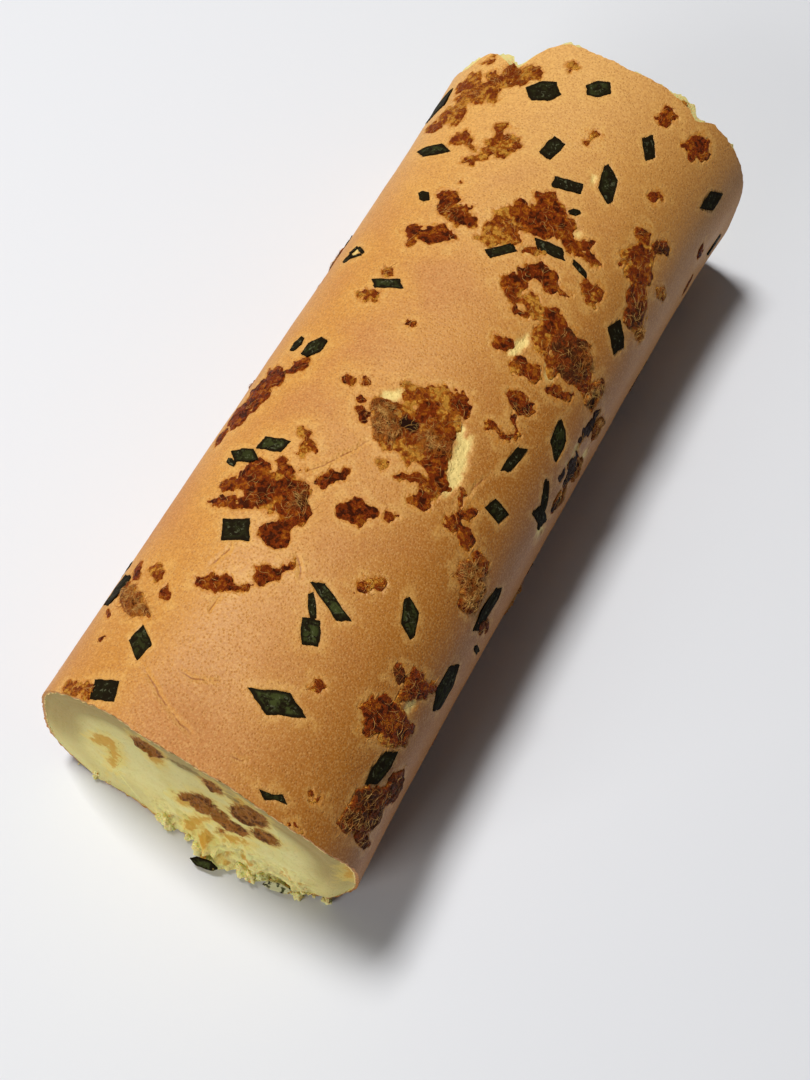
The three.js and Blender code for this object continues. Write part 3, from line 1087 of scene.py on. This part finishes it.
pale = times(tree, crests, between(tree, fibre, 0.1, 1.0, 0.03, 0.50))
colour = mixed(tree, pale, colour, FLOSS_CREST)
# Painted shade in the grooves between the fibres, most where they are loose
groove_shade = between(tree, spots(tree, coordinates, 540.0, 3.0, 0.6, 1.5), 0.56, 0.66)
groove_shade = times(tree, groove_shade, between(tree, fibre, 0.3, 1.0, 0.0, 0.75))
colour = mixed(tree, groove_shade, colour, FLOSS_DARK)
burnt = between(tree, attribute(tree, "shade"), 1.2, 1.5)
colour = mixed(tree, burnt, colour, FLOSS_BURNT)
colour = mixed(tree, between(tree, edge_in, 0.10, -0.30, 0.0, 0.8), colour, FLOSS_HALO)
join(tree, colour, shader, "Base Color")
greasy = between(tree, spots(tree, coordinates, 900.0), 0.35, 0.65, 0.40, 0.65)
join(tree, greasy, shader, "Roughness")
join(tree, bumped(tree, height, 0.0005, 0.9), shader, "Normal")
baked_floss.data.materials.append(floss_material)

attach(baked_floss, "root")


# ---- Loose fibres on the floss ------------------------------------------------------------
# Single meat fibres stand out of the clumps and cross their edges, pale where light comes
# through them. They are thickest on the heaps that the paper didn't press flat.
STRAND_COUNT = 3600
STRAND_RADIUS = 0.00005
STRAND_STEP = 0.00075
STRAND_STEPS = (3, 7)

strand_curve = bpy.data.curves.new("floss_strands", "CURVE")
strand_curve.dimensions = "3D"
strand_curve.bevel_depth = STRAND_RADIUS
strand_curve.bevel_resolution = 0
strand_curve.use_fill_caps = True
chance = random.Random(23)
strands_made = 0
while strands_made < STRAND_COUNT:
    oval, kind = chance.choice(floss_ovals)
    along, across = chance.uniform(-1, 1), chance.uniform(-1, 1)
    start = oval.centre + oval.long_axis * along + oval.wide_axis * across
    angle, share = where_on_roll(start)
    distance, _, fibre, _ = floss_at(on_roll(angle, share))
    if distance > -0.0005 or chance.random() > 0.02 + fibre * fibre:
        continue
    strands_made += 1
    steps = chance.randint(*STRAND_STEPS)
    heading, bend = chance.uniform(0, 2 * pi), chance.gauss(0, 0.28)
    arch = chance.uniform(0.00005, 0.0002) + fibre * chance.uniform(0, 0.0005)
    spline = strand_curve.splines.new("POLY")
    spline.points.add(steps)
    size = chance.uniform(0.55, 1.25)
    for index in range(steps + 1):
        t = index / steps
        spot = on_roll(angle, share)
        distance, _, fibre, heap = floss_at(spot)
        ground = max(floss_lift(spot, distance, fibre, heap), -0.0002)
        lift = ground + arch * 4 * t * (1 - t)
        spline.points[index].co = (*on_roll(angle, min(max(share, 0.0), 0.998), lift), 1)
        spline.points[index].radius = size * (1 - 0.6 * abs(2 * t - 1))
        heading += bend + chance.gauss(0, 0.3)
        angle += STRAND_STEP * cos(heading) / ROUND_RADIUS
        share += STRAND_STEP * sin(heading) / (2 * HALF_LENGTH)
curve_object = bpy.data.objects.new("floss_strands_curve", strand_curve)
bpy.context.scene.collection.objects.link(curve_object)
bpy.context.view_layer.update()
strand_mesh = bpy.data.meshes.new_from_object(curve_object)
bpy.data.objects.remove(curve_object)
strand_mesh.name = "floss_strands"
strands = bpy.data.objects.new("floss_strands", strand_mesh)
bpy.context.scene.collection.objects.link(strands)

STRAND_BROWN = (0.46, 0.15, 0.018, 1)
STRAND_PALE = (0.78, 0.44, 0.12, 1)
strand_material, tree, coordinates, shader = new_material(
    "floss_strands", Roughness=0.5, **{"Specular_IOR_Level": 0.15}
)
tone = between(tree, spots(tree, coordinates, 420.0, 2.0), 0.38, 0.62)
colour = mixed(tree, tone, STRAND_BROWN, STRAND_PALE)
join(tree, colour, shader, "Base Color")
join(tree, bumped(tree, spots(tree, coordinates, 4000.0), 0.0001, 0.4), shader, "Normal")
strands.data.materials.clear()
strands.data.materials.append(strand_material)

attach(strands, "root")


# ---- Green onion flakes -------------------------------------------------------------------
# Dried green onion, cut aslant, lies on the paper with the floss. The oven turns it almost
# black, with some green left, and it comes out sunk flush in the skin.
FLAKE_THICKNESS = 0.0005
FLAKE_LIFT = 0.0001
FLAKE_GRID = (18, 10)
# The oval of each flake as for the floss, how far its sides lean, how much it narrows to its
# tips, where 1 makes a diamond, 0 a block and less than 0 a bow, and how green it has stayed
FLAKES = (
    (543.5, 91, 16, 10, -10, 0.15, 0.35, 0.3), (598.6, 89, 12, 8, -5, 0.0, 0.35, 0.5),
    (439, 106, 21, 4.5, 128, 0.2, 0.8, 0.1), (432, 150, 14, 5, -15, 0.3, 0.25, 0.5),
    (552, 148, 11, 7.5, -45, 0.1, 0.1, 0.2), (649, 148, 11.5, 5.5, 82, 0.1, 0.0, 0.1),
    (608, 184, 19, 10, 85, 0.15, 0.75, 0.3), (567.5, 185, 15, 5.5, 15, 0.0, 0.1, 0.1),
    (712, 201, 10, 6, -60, 0.2, 0.1, 0.1), (424, 196, 5.5, 5, 0, 0.1, 0.3, 0.1),
    (574.5, 212, 6, 3.5, 0, 0.2, 0.6, 0.1), (501, 250.5, 14, 4.5, -14, 0.1, 0.0, 0.3),
    (550, 249, 15, 6, 22, 0.3, 0.2, 0.2), (714, 245, 12, 3, 125, 0, 0.3, 0.1),
    (580, 269, 10, 3, 47, 0.2, 0.3, 0.2), (617, 337, 14, 6.5, 80, 0.2, 0.0, 0.0),
    (514, 459.5, 14, 5.5, -53, 0.2, 0.2, 0.2), (558.5, 441, 21, 8, 97, 0.0, 0.8, 0.5),
    (386.5, 283, 14, 4.5, 1, 0.1, -0.05, 0.5), (273, 444, 12.8, 6.7, 10, -0.33, 0.0, 0.6),
    (244, 455, 12, 7, -4, 0.2, 0.25, 0.5), (231, 462, 4.5, 3.5, 30, 0.1, 0.3, 0.0),
    (235.5, 529.5, 14, 11, 0, 0.0, -0.06, 0.3), (314, 347, 13, 7, -38, 0.2, 0.5, 0.4),
    (297, 344, 9, 3.5, -50, 0.2, 0.5, 0.1), (497.3, 511, 10.5, 7, 50, 0.0, 0.0, 0.4),
    (330.7, 601.6, 23.5, 6, 55, -0.2, 0.0, 0.9), (312, 606, 13, 4.2, 84, 0.1, 0.3, 0.3),
    (310.5, 632, 13, 10, 93, -0.1, 0.12, 0.8), (410, 618, 20, 9.5, 82, 0.2, 0.7, 0.6),
    (488, 609, 24, 4.5, 118, 0.2, 0.4, 0.2), (140, 642.3, 17.6, 12, 101, 0.0, 0.95, 0.4),
    (104, 690, 12.5, 10.5, 5, -0.15, -0.05, 0.1), (117, 590, 19, 4.5, 127, 0.1, 0.4, 0.1),
    (277.7, 703, 20.9, 12.2, 6, 0.49, 0.0, 1.0), (273.5, 797, 12, 4.5, 12, 0.3, -0.5, 0.4),
    (382, 768, 19, 7.5, 123, 0.25, 0.3, 0.3), (446, 688, 24, 7, 112, 0.2, 0.5, 0.4),
    (347.5, 258.6, 6, 1.9, -40, 0.0, 0.5, 0.0), (353.5, 250.4, 5.4, 1, -42, 0.0, 0.2, 0.0),
    (360.8, 250.2, 3.8, 2.1, 50, 0.0, 0.2, 0.0), (355.5, 256, 5.8, 1.1, -17, 0.0, 0.2, 0.0),
    (544, 505, 25, 3, 100, 0, 0.4, 0.2), (541, 517, 8, 6, 60, 0.2, 0.2, 0.1),
    (477, 650, 5, 3, 60, 0, 0.3, 0.0),
)
HIDDEN_FLAKES = 22

# Two flakes hang in the torn crumb at the foot of the cut: each one's middle, the ways of its
# length and its width, in metres, and its last three values as above
FOOT_FLAKES = (
    ((0.0066, -0.1368, 0.0042), (0.0037, 0.0001, -0.0004), (0.0004, 0.0013, 0.0018), 0.4, 0.6, 1.0),
    ((0.0290, -0.1322, 0.0044), (0.0036, 0.0004, 0.0), (0.0002, 0.0012, 0.0015), 0.2, 0.4, 2.0),
)

flakes = [(oval_in_view(*flake[:5]), *flake[5:]) for flake in FLAKES]
chance = random.Random(5)
for _ in range(HIDDEN_FLAKES):
    angle, share = hidden_place(chance)
    size, slim = chance.uniform(0.0026, 0.0052), chance.uniform(0.3, 0.75)
    oval = oval_on_sheet(angle, share, size, size * slim, chance.uniform(0, pi))
    flakes.append((oval, chance.uniform(-0.3, 0.4), chance.uniform(0, 0.85), chance.random()))
flake_tree = tree_of([flake[0].centre for flake in flakes])
foot_flakes = [
    (Oval(Vector(middle), Vector(length), Vector(width)), *traits)
    for middle, length, width, *traits in FOOT_FLAKES
]


def flake_width(along, narrowing):
    if narrowing < 0:
        return 1 + narrowing * (1 - abs(along))
    return max(1 - narrowing * abs(along), 0.05)


def flake_outline(s, t, number, narrowing):
    """A place of a flake, from -1 to 1 along it and across it, with its uneven edges."""
    along = s * (1 + 0.10 * noise.noise(Vector((s * 1.3, t * 1.3, number * 7.3))))
    along += 0.06 * noise.noise(Vector((t * 6, 2, number)))
    across = t * flake_width(s, narrowing)
    across *= 1 + 0.16 * noise.noise(Vector((s * 1.7, 5, number)))
    return along, across + 0.06 * noise.noise(Vector((s * 13, t * 2, number * 1.9)))


def flake_top(s, t, number):
    """Height of a flake's face over the skin: it has ribs, and its corners curl up."""
    curl = noise.noise(Vector((s * 1.3, t * 1.3, number * 3.1)))
    ridge = noise.noise(Vector((s * 1.5, t * 6, number * 1.7)))
    corner = 0.0002 * max(curl, 0) * max(abs(s), abs(t)) ** 3
    return FLAKE_LIFT + 0.00016 * curl + 0.00012 * ridge + corner


def flake_distance(point, reach):
    """Distance to the nearest flake's edge, negative under it."""
    nearest = FLOSS_REACH
    for _, index, _ in flake_tree.find_range(point, reach):
        oval, lean, narrowing, _ = flakes[index]
        off = point - oval.centre
        across, along = off.dot(oval.wide_row), off.dot(oval.long_row)
        along -= lean * across
        past_side = (abs(across) - flake_width(min(abs(along), 1.0), narrowing)) * oval.half_width
        past_tip = (abs(along) - 1) * oval.half_length
        nearest = min(nearest, max(past_side, past_tip))
    return nearest


bm = bmesh.new()
inward = bm.verts.layers.float.new("inward")
greenness = bm.verts.layers.float.new("green")
for number, (oval, lean, narrowing, green) in enumerate(flakes + foot_flakes):
    in_crumb = number >= len(flakes)
    grid = bmesh.ops.create_grid(bm, x_segments=FLAKE_GRID[0], y_segments=FLAKE_GRID[1], size=1)
    own = grid["verts"]
    faces = list(dict.fromkeys(face for vert in own for face in vert.link_faces))
    drawn = bmesh.ops.extrude_face_region(bm, geom=faces)["geom"]
    upper = [item for item in drawn if isinstance(item, bmesh.types.BMVert)]
    tops = set(upper)
    for vert in own + upper:
        s, t = vert.co.xy
        vert[inward], vert[greenness] = 1 - max(abs(s), abs(t)), green
        along, across = flake_outline(s, t, number, narrowing)
        spot = oval.centre + oval.long_axis * (along + lean * across) + oval.wide_axis * across
        lift = flake_top(s, t, number) if vert in tops else FLAKE_LIFT - FLAKE_THICKNESS
        if in_crumb:
            vert.co = spot + oval.long_axis.cross(oval.wide_axis).normalized() * lift
        else:
            vert.co = on_roll(*where_on_roll(spot), lift)
bmesh.ops.recalc_face_normals(bm, faces=bm.faces)
herb_flakes = made_piece("herb_flakes", bm)

HERB_BLACK = (0.013, 0.009, 0.004, 1)
HERB_GREEN = (0.052, 0.062, 0.017, 1)
HERB_GLINT = (0.13, 0.14, 0.075, 1)
HERB_DUST = (0.62, 0.60, 0.34, 1)        # crumb that sticks to a flake in the torn foot
flake_material, tree, coordinates, shader = new_material(
    "herb_flakes", Roughness=0.5, **{"Specular_IOR_Level": 0.01}
)
patches = spots(tree, coordinates, 480.0, 3.0, 0.6, 0.8)
middle = between(tree, attribute(tree, "inward"), 0.10, 0.40)
stayed = attribute(tree, "green")
green = times(tree, between(tree, patches, 0.40, 0.62), middle)
green = times(tree, green, between(tree, stayed, 0.0, 1.0, 0.05, 1.0))
colour = mixed(tree, green, HERB_BLACK, HERB_GREEN)
glints = between(tree, spots(tree, coordinates, 900.0, 2.0, 0.5, 1.0), 0.58, 0.70)
glints = times(tree, glints, middle)
colour = tinted(tree, colour, HERB_GLINT, glints, 0.6)
dust = between(tree, spots(tree, coordinates, 620.0, 3.0, 0.6), 0.40, 0.50)
dust = times(tree, dust, between(tree, stayed, 1.0, 2.0))
colour = mixed(tree, dust, colour, HERB_DUST)
join(tree, colour, shader, "Base Color")
veins = spots(tree, coordinates, 750.0, 3.0, 0.5, 0.8)
join(tree, bumped(tree, veins, 0.0003, 0.6), shader, "Normal")
herb_flakes.data.materials.append(flake_material)

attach(herb_flakes, "root")


# ---- The baked skin -----------------------------------------------------------------------
# The sheet's outside is the face that lay on the paper: a thin tender skin, tan and dimpled,
# paler and yellower beside the floss, with hairline cracks where the rolling stretched it.
SKIN_CELL = 0.00096
INNER_ROWS = 6
SKIN_RAGGED = 0.00055
SKIN_TORN = (0.0003, 0.0042)      # how far short of the torn crumb it ends, least and most
SKIN_LOOK = 0.014                 # how far away what is set in it still counts
TEARS = (
    (457, 466, 30, 9, 110), (461, 434, 12, 6, 80), (393, 395, 14, 6, -15), (412, 707, 6, 4, -30),
    (521, 344, 10, 5, 125), (511, 352, 7, 3, 160), (548, 374, 9, 3.5, 60), (593, 180, 4, 2, 80),
    (577, 233, 4, 2), (528, 250, 6, 3), (577, 446, 6, 1.6, 115), (569, 462, 5, 1.4, 118),
    (596, 391, 7, 1.2, 125), (583, 459, 9, 2.5, 116), (541, 531, 6, 4, 110),
    (355.3, 252.6, 3.4, 1.8, -38),
)
# Cracks and creases that the rolling left, by the pixels of their turns
CREASES = (
    ((140, 662), (152, 682), (166, 707), (182, 723), (196, 742)),
    ((176, 670), (191, 680), (209, 681), (226, 680)),
    ((300, 474), (322, 466), (348, 452), (375, 438)),
    ((208, 614), (214, 603), (221, 594)),
    ((206, 568), (218, 560), (228, 549), (232, 540)),
    ((296, 553), (299, 567), (302, 581)),
    ((228, 756), (241, 762), (252, 760)),
    ((418, 386), (436, 392), (450, 398)),
    ((448, 505), (470, 492), (492, 470)),
)
CREASE_REACH = 0.004

tears = [oval_in_view(*tear) for tear in TEARS]
tear_tree = tree_of([oval.centre for oval in tears])
creases = [[meet_roll(x, y) for x, y in turns] for turns in CREASES]


def tear_distance(point):
    nearest = FLOSS_REACH
    spot = point + noise.noise_vector(point * 330) * 0.0010 + noise.noise_vector(point * 900) * 0.0004
    for _, index, _ in tear_tree.find_range(spot, SKIN_LOOK):
        nearest = min(nearest, tears[index].distance(spot))
    return nearest


def crease_side(point):
    """The signed distance across the nearest crease, and 1 beside it, 0 past its ends."""
    spot = point + noise.noise_vector(point * 210) * 0.0007
    side, closest, share = CREASE_REACH, CREASE_REACH, 0.0
    for turns in creases:
        for number, (start, end) in enumerate(zip(turns, turns[1:])):
            run = end - start
            along = min(max((spot - start).dot(run) / run.length_squared, 0.0), 1.0)
            off = spot - start - run * along
            if off.length < closest:
                closest = off.length
                side = closest if off.cross(run).dot(roll_normal(point)) > 0 else -closest
                part = (number + along) / (len(turns) - 1)
                share = min(part, 1 - part)
    return side, share


def torn_short(angle, share):
    """How far short of the torn crumb the skin ends there, most of all on the left."""
    turned = Vector((cos(angle), sin(angle), share * 4)) * 3
    left = 1 - fade(on_roll(angle, 1).x, -0.034, -0.018)
    torn = fade(noise.noise(turned + Vector((2, 5, 0))) + 0.5 * left, 0.1, 0.7) * (0.3 + 0.7 * left)
    return SKIN_TORN[0] + (SKIN_TORN[1] - SKIN_TORN[0]) * torn * fade(share, 0.9, 1)


def skin_lift(spot, floss_near, flake_near, tear_near, side, near):
    """Height of the skin over the roll's outside: dented round what is set in it, sunk where
    it is torn open, and creased."""
    lift = rough(spot, ((0.00022, 45), (0.00008, 130), (0.00002, 420)))
    lift -= 0.00045 * fade(-floss_near, -0.0002, 0.0010)
    lift -= 0.00040 * fade(-flake_near, -0.0003, 0.0006)
    lift -= (0.0005 + rough(spot, ((0.0003, 600),))) * fade(-tear_near, -0.0012, 0.0012)
    lip, groove = 0.00007 * bump(abs(side) - 0.0012, 0.0008), 0.00026 * bump(side, 0.0006)
    lift += (lip - groove) * fade(near, 0, 0.2)
    return max(lift, 0.0003 - SKIN_THICKNESS)


bm = bmesh.new()
columns, rows = round(2 * pi * ROUND_RADIUS / SKIN_CELL), round(2 * HALF_LENGTH / SKIN_CELL)
profile_rows = rows + INNER_ROWS + 2
bmesh.ops.create_grid(bm, x_segments=columns, y_segments=profile_rows, size=0.5)
names = ("floss_near", "flake_near", "tear_near", "crease_side", "crease_near", "depth")
layers = [bm.verts.layers.float.new(name) for name in names]
for vert in bm.verts:
    angle = (vert.co.x + 0.5) * 2 * pi - pi / 2
    row = round((vert.co.y + 0.5) * profile_rows)
    is_inner = rows < row < profile_rows
    share = 1 - (row - rows - 1) / INNER_ROWS if is_inner else (row % profile_rows) / rows
    ends = 1 - torn_short(angle, share) / (2 * HALF_LENGTH)
    spot = on_roll(angle, share * ends)
    lift, values = -SKIN_THICKNESS, (FLOSS_REACH, FLOSS_REACH, FLOSS_REACH, CREASE_REACH, 0.0, 1.0)
    if not is_inner:
        set_in = floss_at(spot, SKIN_LOOK)[0], flake_distance(spot, SKIN_LOOK)
        values = (*set_in, tear_distance(spot), *crease_side(spot), 0.0)
        lift = skin_lift(spot, *values[:5])
    point = on_roll(angle, share * ends, lift)
    if share in (0, 1):
        point.y += SKIN_RAGGED * noise.noise(point * 700)
    point.z = max(point.z, 0.0)
    vert.co = point
    for layer, value in zip(layers, values):
        vert[layer] = value
bmesh.ops.remove_doubles(bm, verts=bm.verts, dist=0.000001)
bmesh.ops.recalc_face_normals(bm, faces=bm.faces)
skin = made_piece("baked_skin", bm)

SKIN_TAN = (0.67, 0.305, 0.056, 1)
SKIN_ROSE = (0.585, 0.238, 0.056, 1)
# Painted shade for the side of the skin turned away from the light
SKIN_SHADE_BROWN = (0.41, 0.138, 0.011, 1)
SKIN_FAR = (0.84, 0.48, 0.145, 1)
SKIN_GOLD = (0.78, 0.44, 0.115, 1)
SKIN_STAIN = (0.58, 0.22, 0.022, 1)
SKIN_SPECK = (0.40, 0.12, 0.02, 1)
SKIN_PIT = (0.32, 0.10, 0.015, 1)
SKIN_GRAIN = (0.40, 0.15, 0.03, 1)
SKIN_MOTTLE = (0.42, 0.16, 0.035, 1)
SKIN_FLECK = (0.84, 0.50, 0.17, 1)
SKIN_CRACK = (0.34, 0.11, 0.02, 1)
CRUMB_UNDER_SKIN = (0.88, 0.66, 0.23, 1)
skin_material, tree, coordinates, shader = new_material(
    "baked_skin", Roughness=0.5, **{"Specular_IOR_Level": 0.28}
)
floss_near, flake_near = millimetres(tree, "floss_near"), millimetres(tree, "flake_near")
tear_near = millimetres(tree, "tear_near")
grain = spots(tree, coordinates, 1300.0, 3.0, 0.6)
mottle = between(tree, spots(tree, coordinates, 560.0, 3.0, 0.6), 0.36, 0.64)
wobble = between(tree, spots(tree, coordinates, 900.0, 3.0, 0.6), 0.25, 0.75, -0.5, 0.5)
uneven = between(tree, spots(tree, coordinates, 260.0, 4.0, 0.65), 0.3, 0.7, -1.6, 1.6)
broad = spots(tree, coordinates, 28.0, 3.0, 0.55)
near_any = maths(tree, "MINIMUM", maths(tree, "MINIMUM", floss_near, flake_near), tear_near)
open_skin = between(tree, near_any, 1.0, 9.0)
rosy = times(tree, open_skin, between(tree, broad, 0.30, 0.66))
colour = mixed(tree, rosy, SKIN_TAN, SKIN_ROSE)
across, along, _ = add_node(tree, "SeparateXYZ", Vector=coordinates).outputs
colour = mixed(tree, between(tree, along, 0.02, 0.13, 0.0, 0.75), colour, SKIN_FAR)
# Painted shade on the right side, turned away from the light, and darker towards the cut end
side_shade_and_end = times(tree, between(tree, across, -0.012, 0.042, 0.0, 1.0),
                between(tree, along, 0.10, -0.02, 0.6, 1.0))
side_shade_and_end = maths(tree, "MAXIMUM", side_shade_and_end, between(tree, along, -0.060, -0.125, 0.0, 0.35))
colour = mixed(tree, side_shade_and_end, colour, SKIN_SHADE_BROWN)
golden = between(tree, plus(tree, near_any, uneven), 2.8, 0.0)
colour = tinted(tree, colour, SKIN_GOLD, golden, 0.52)
stained = between(tree, plus(tree, floss_near, wobble), 0.9, 0.0)
colour = tinted(tree, colour, SKIN_STAIN, stained, 0.8)
specks = add_node(tree, "TexVoronoi", Vector=coordinates, Scale=310.0).outputs[0]
colour = mixed(tree, between(tree, specks, 0.14, 0.06, 0.0, 0.35), colour, SKIN_SPECK)
pits = add_node(tree, "TexVoronoi", Vector=coordinates, Scale=1150.0).outputs[0]
colour = mixed(tree, between(tree, pits, 0.32, 0.14, 0.0, 0.52), colour, SKIN_PIT)
colour = mixed(tree, between(tree, grain, 0.42, 0.60, 0.0, 0.36), colour, SKIN_GRAIN)
colour = tinted(tree, colour, SKIN_MOTTLE, mottle, 0.16)
flecks = between(tree, spots(tree, coordinates, 1700.0, 3.0, 0.6), 0.44, 0.66)
colour = tinted(tree, colour, SKIN_FLECK, flecks, 0.30)
crease_off = maths(tree, "ABSOLUTE", millimetres(tree, "crease_side"))
crease_near = between(tree, attribute(tree, "crease_near"), 0.0, 0.25)
lip = between(tree, plus(tree, crease_off, wobble), 1.7, 0.4)
lip = times(tree, lip, crease_near)
colour = tinted(tree, colour, SKIN_GOLD, lip, 0.25)
crease_on = times(tree, between(tree, crease_off, 0.40, 0.10), crease_near)
crease_on = times(tree, crease_on, between(tree, spots(tree, coordinates, 420.0), 0.34, 0.5))
colour = tinted(tree, colour, SKIN_CRACK, crease_on, 0.85)
holes, pore_height = effect_in(tree, crumb_pores, coordinates)
torn_open = between(tree, plus(tree, tear_near, times(tree, uneven, 0.5)), 1.0, -1.2)
raw = between(tree, attribute(tree, "depth"), 0.55, 0.85)
torn_open = maths(tree, "MAXIMUM", torn_open, raw)
# The crumb laid bare, with painted shade in its pores
laid_bare = tinted(tree, CRUMB_UNDER_SKIN, CRUMB_HOLE_SHADE, holes, 0.5)
colour = mixed(tree, torn_open, colour, laid_bare)
join(tree, colour, shader, "Base Color")
join(tree, between(tree, broad, 0.3, 0.7, 0.46, 0.60), shader, "Roughness")
surface = plus(tree, times(tree, grain, 0.7), between(tree, pits, 0.10, 0.45, 0.0, 0.6))
open_pores = times(tree, times(tree, torn_open, pore_height), 1.4)
surface = plus(tree, surface, open_pores)
join(tree, bumped(tree, surface, 0.00016, 0.7), shader, "Normal")
skin.data.materials.append(skin_material)

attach(skin, "root")


# ---- Crumbs and torn bits -----------------------------------------------------------------
# The knife dragged crumbs out at the foot of the cut, where they lie in small heaps. They are
# soft lumps of sponge, some with a scrap of brown skin on them.

# Each heap by its place across, its spread across, how far out it lies and its number of lumps
CRUMB_HEAPS = (
    (-0.0340, 0.0050, 0.0, 4), (-0.0090, 0.0022, 0.0, 4),
    (0.0080, 0.0012, 0.0008, 8), (0.0300, 0.0018, 0.0004, 5),
    (-0.0025, 0.0030, 0.0003, 5), (0.0060, 0.0030, 0.0004, 8), (0.0175, 0.0024, 0.0005, 8),
    (0.0250, 0.0030, 0.0002, 4), (0.0345, 0.0024, 0.0002, 5), (0.0415, 0.0020, 0.0002, 4),
)
LUMP_SIZES = (0.0005, 0.0020)


def crumb_lump(bm, centre, size, seed):
    made = bmesh.ops.create_icosphere(bm, subdivisions=3, radius=1)
    long_way = noise.noise_vector(seed).normalized()
    for vert in made["verts"]:
        way = vert.co.copy()
        uneven = 1 + 0.6 * noise.noise(way * 1.2 + seed) + 0.35 * noise.noise(way * 2.6 + seed)
        way += long_way * way.dot(long_way) * 0.5
        spot = centre + way * size * uneven
        spot.z = max(spot.z, 0.0)
        vert.co = spot


bm = bmesh.new()
chance = random.Random(31)
for middle, spread, out, count in CRUMB_HEAPS:
    for _ in range(count):
        size = chance.uniform(*LUMP_SIZES) * chance.uniform(0.5, 1.0)
        x, z = chance.gauss(middle, spread), chance.uniform(0, 0.004) + size * 0.5
        y = front_end(x, z) - foot_reach(x, z) - chance.uniform(-0.3, 1.0) * out + size * 0.3
        centre = Vector((flared(x, y, z), y, z))
        crumb_lump(bm, centre, size, Vector((chance.uniform(0, 50), chance.uniform(0, 50), 0)))
bmesh.ops.recalc_face_normals(bm, faces=bm.faces)
loose_crumbs = made_piece("loose_crumbs", bm)

LUMP_PALE = (0.94, 0.84, 0.38, 1)
LUMP_SCRAP = (0.70, 0.36, 0.08, 1)
lump_material, tree, coordinates, shader = new_material(
    "loose_crumbs", Roughness=0.8,
    **{"Specular_IOR_Level": 0.2, "Subsurface_Weight": 0.3, "Subsurface_Scale": 0.0015}
)
holes, height = effect_in(tree, crumb_pores, coordinates)
# Painted shade in the pores of the lumps
colour = tinted(tree, LUMP_PALE, CRUMB_HOLE_SHADE, holes, 0.15)
scraps = between(tree, spots(tree, coordinates, 260.0, 2.0), 0.57, 0.64)
colour = tinted(tree, colour, LUMP_SCRAP, scraps, 0.85)
join(tree, colour, shader, "Base Color")
join(tree, bumped(tree, height, 0.0004, 0.4), shader, "Normal")
loose_crumbs.data.materials.append(lump_material)

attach(loose_crumbs, "root")


# ---- The floor, the light and the air -----------------------------------------------------
# A pale matt worktop. One broad soft light hangs over it and a weaker one stands in front, and
# the air adds a little light from all round.
FLOOR_SIZE = 3
FLOOR_PALE = (0.76, 0.78, 0.83, 1)
bpy.ops.mesh.primitive_plane_add(size=FLOOR_SIZE)
floor = bpy.context.object
floor.name = "floor"
floor_material, *_ = new_material("floor", Base_Color=FLOOR_PALE, Roughness=0.6)
floor.data.materials.append(floor_material)

# Each light by its name, direction, distance, size, the brightness that it gives a white card,
# and its colour
LIGHTS = (
    ("ceiling", (-0.35, 0.14, 0.92), 2.6, 0.55, 0.90, (1.0, 0.985, 0.955)),
    ("front", (-0.30, -0.86, 0.42), 2.0, 1.1, 0.40, (1.0, 0.98, 0.93)),
)
for name, way, distance, size, brightness, colour in LIGHTS:
    light_data = bpy.data.lights.new(name, "AREA")
    light_data.size = size
    light_data.energy = brightness * (pi * distance) ** 2
    light_data.color = colour
    light = bpy.data.objects.new(name, light_data)
    light.location = Vector(way).normalized() * distance
    light.rotation_euler = Vector(way).to_track_quat("Z", "Y").to_euler()
    bpy.context.scene.collection.objects.link(light)

AIR_COLOUR, AIR_BRIGHTNESS = (0.98, 0.97, 1.0, 1), 0.055
world = bpy.data.worlds.new("air")
world.use_nodes = True
air = world.node_tree.nodes["Background"].inputs
air[0].default_value, air[1].default_value = AIR_COLOUR, AIR_BRIGHTNESS
bpy.context.scene.world = world
bpy.context.scene.view_settings.view_transform = "Standard"
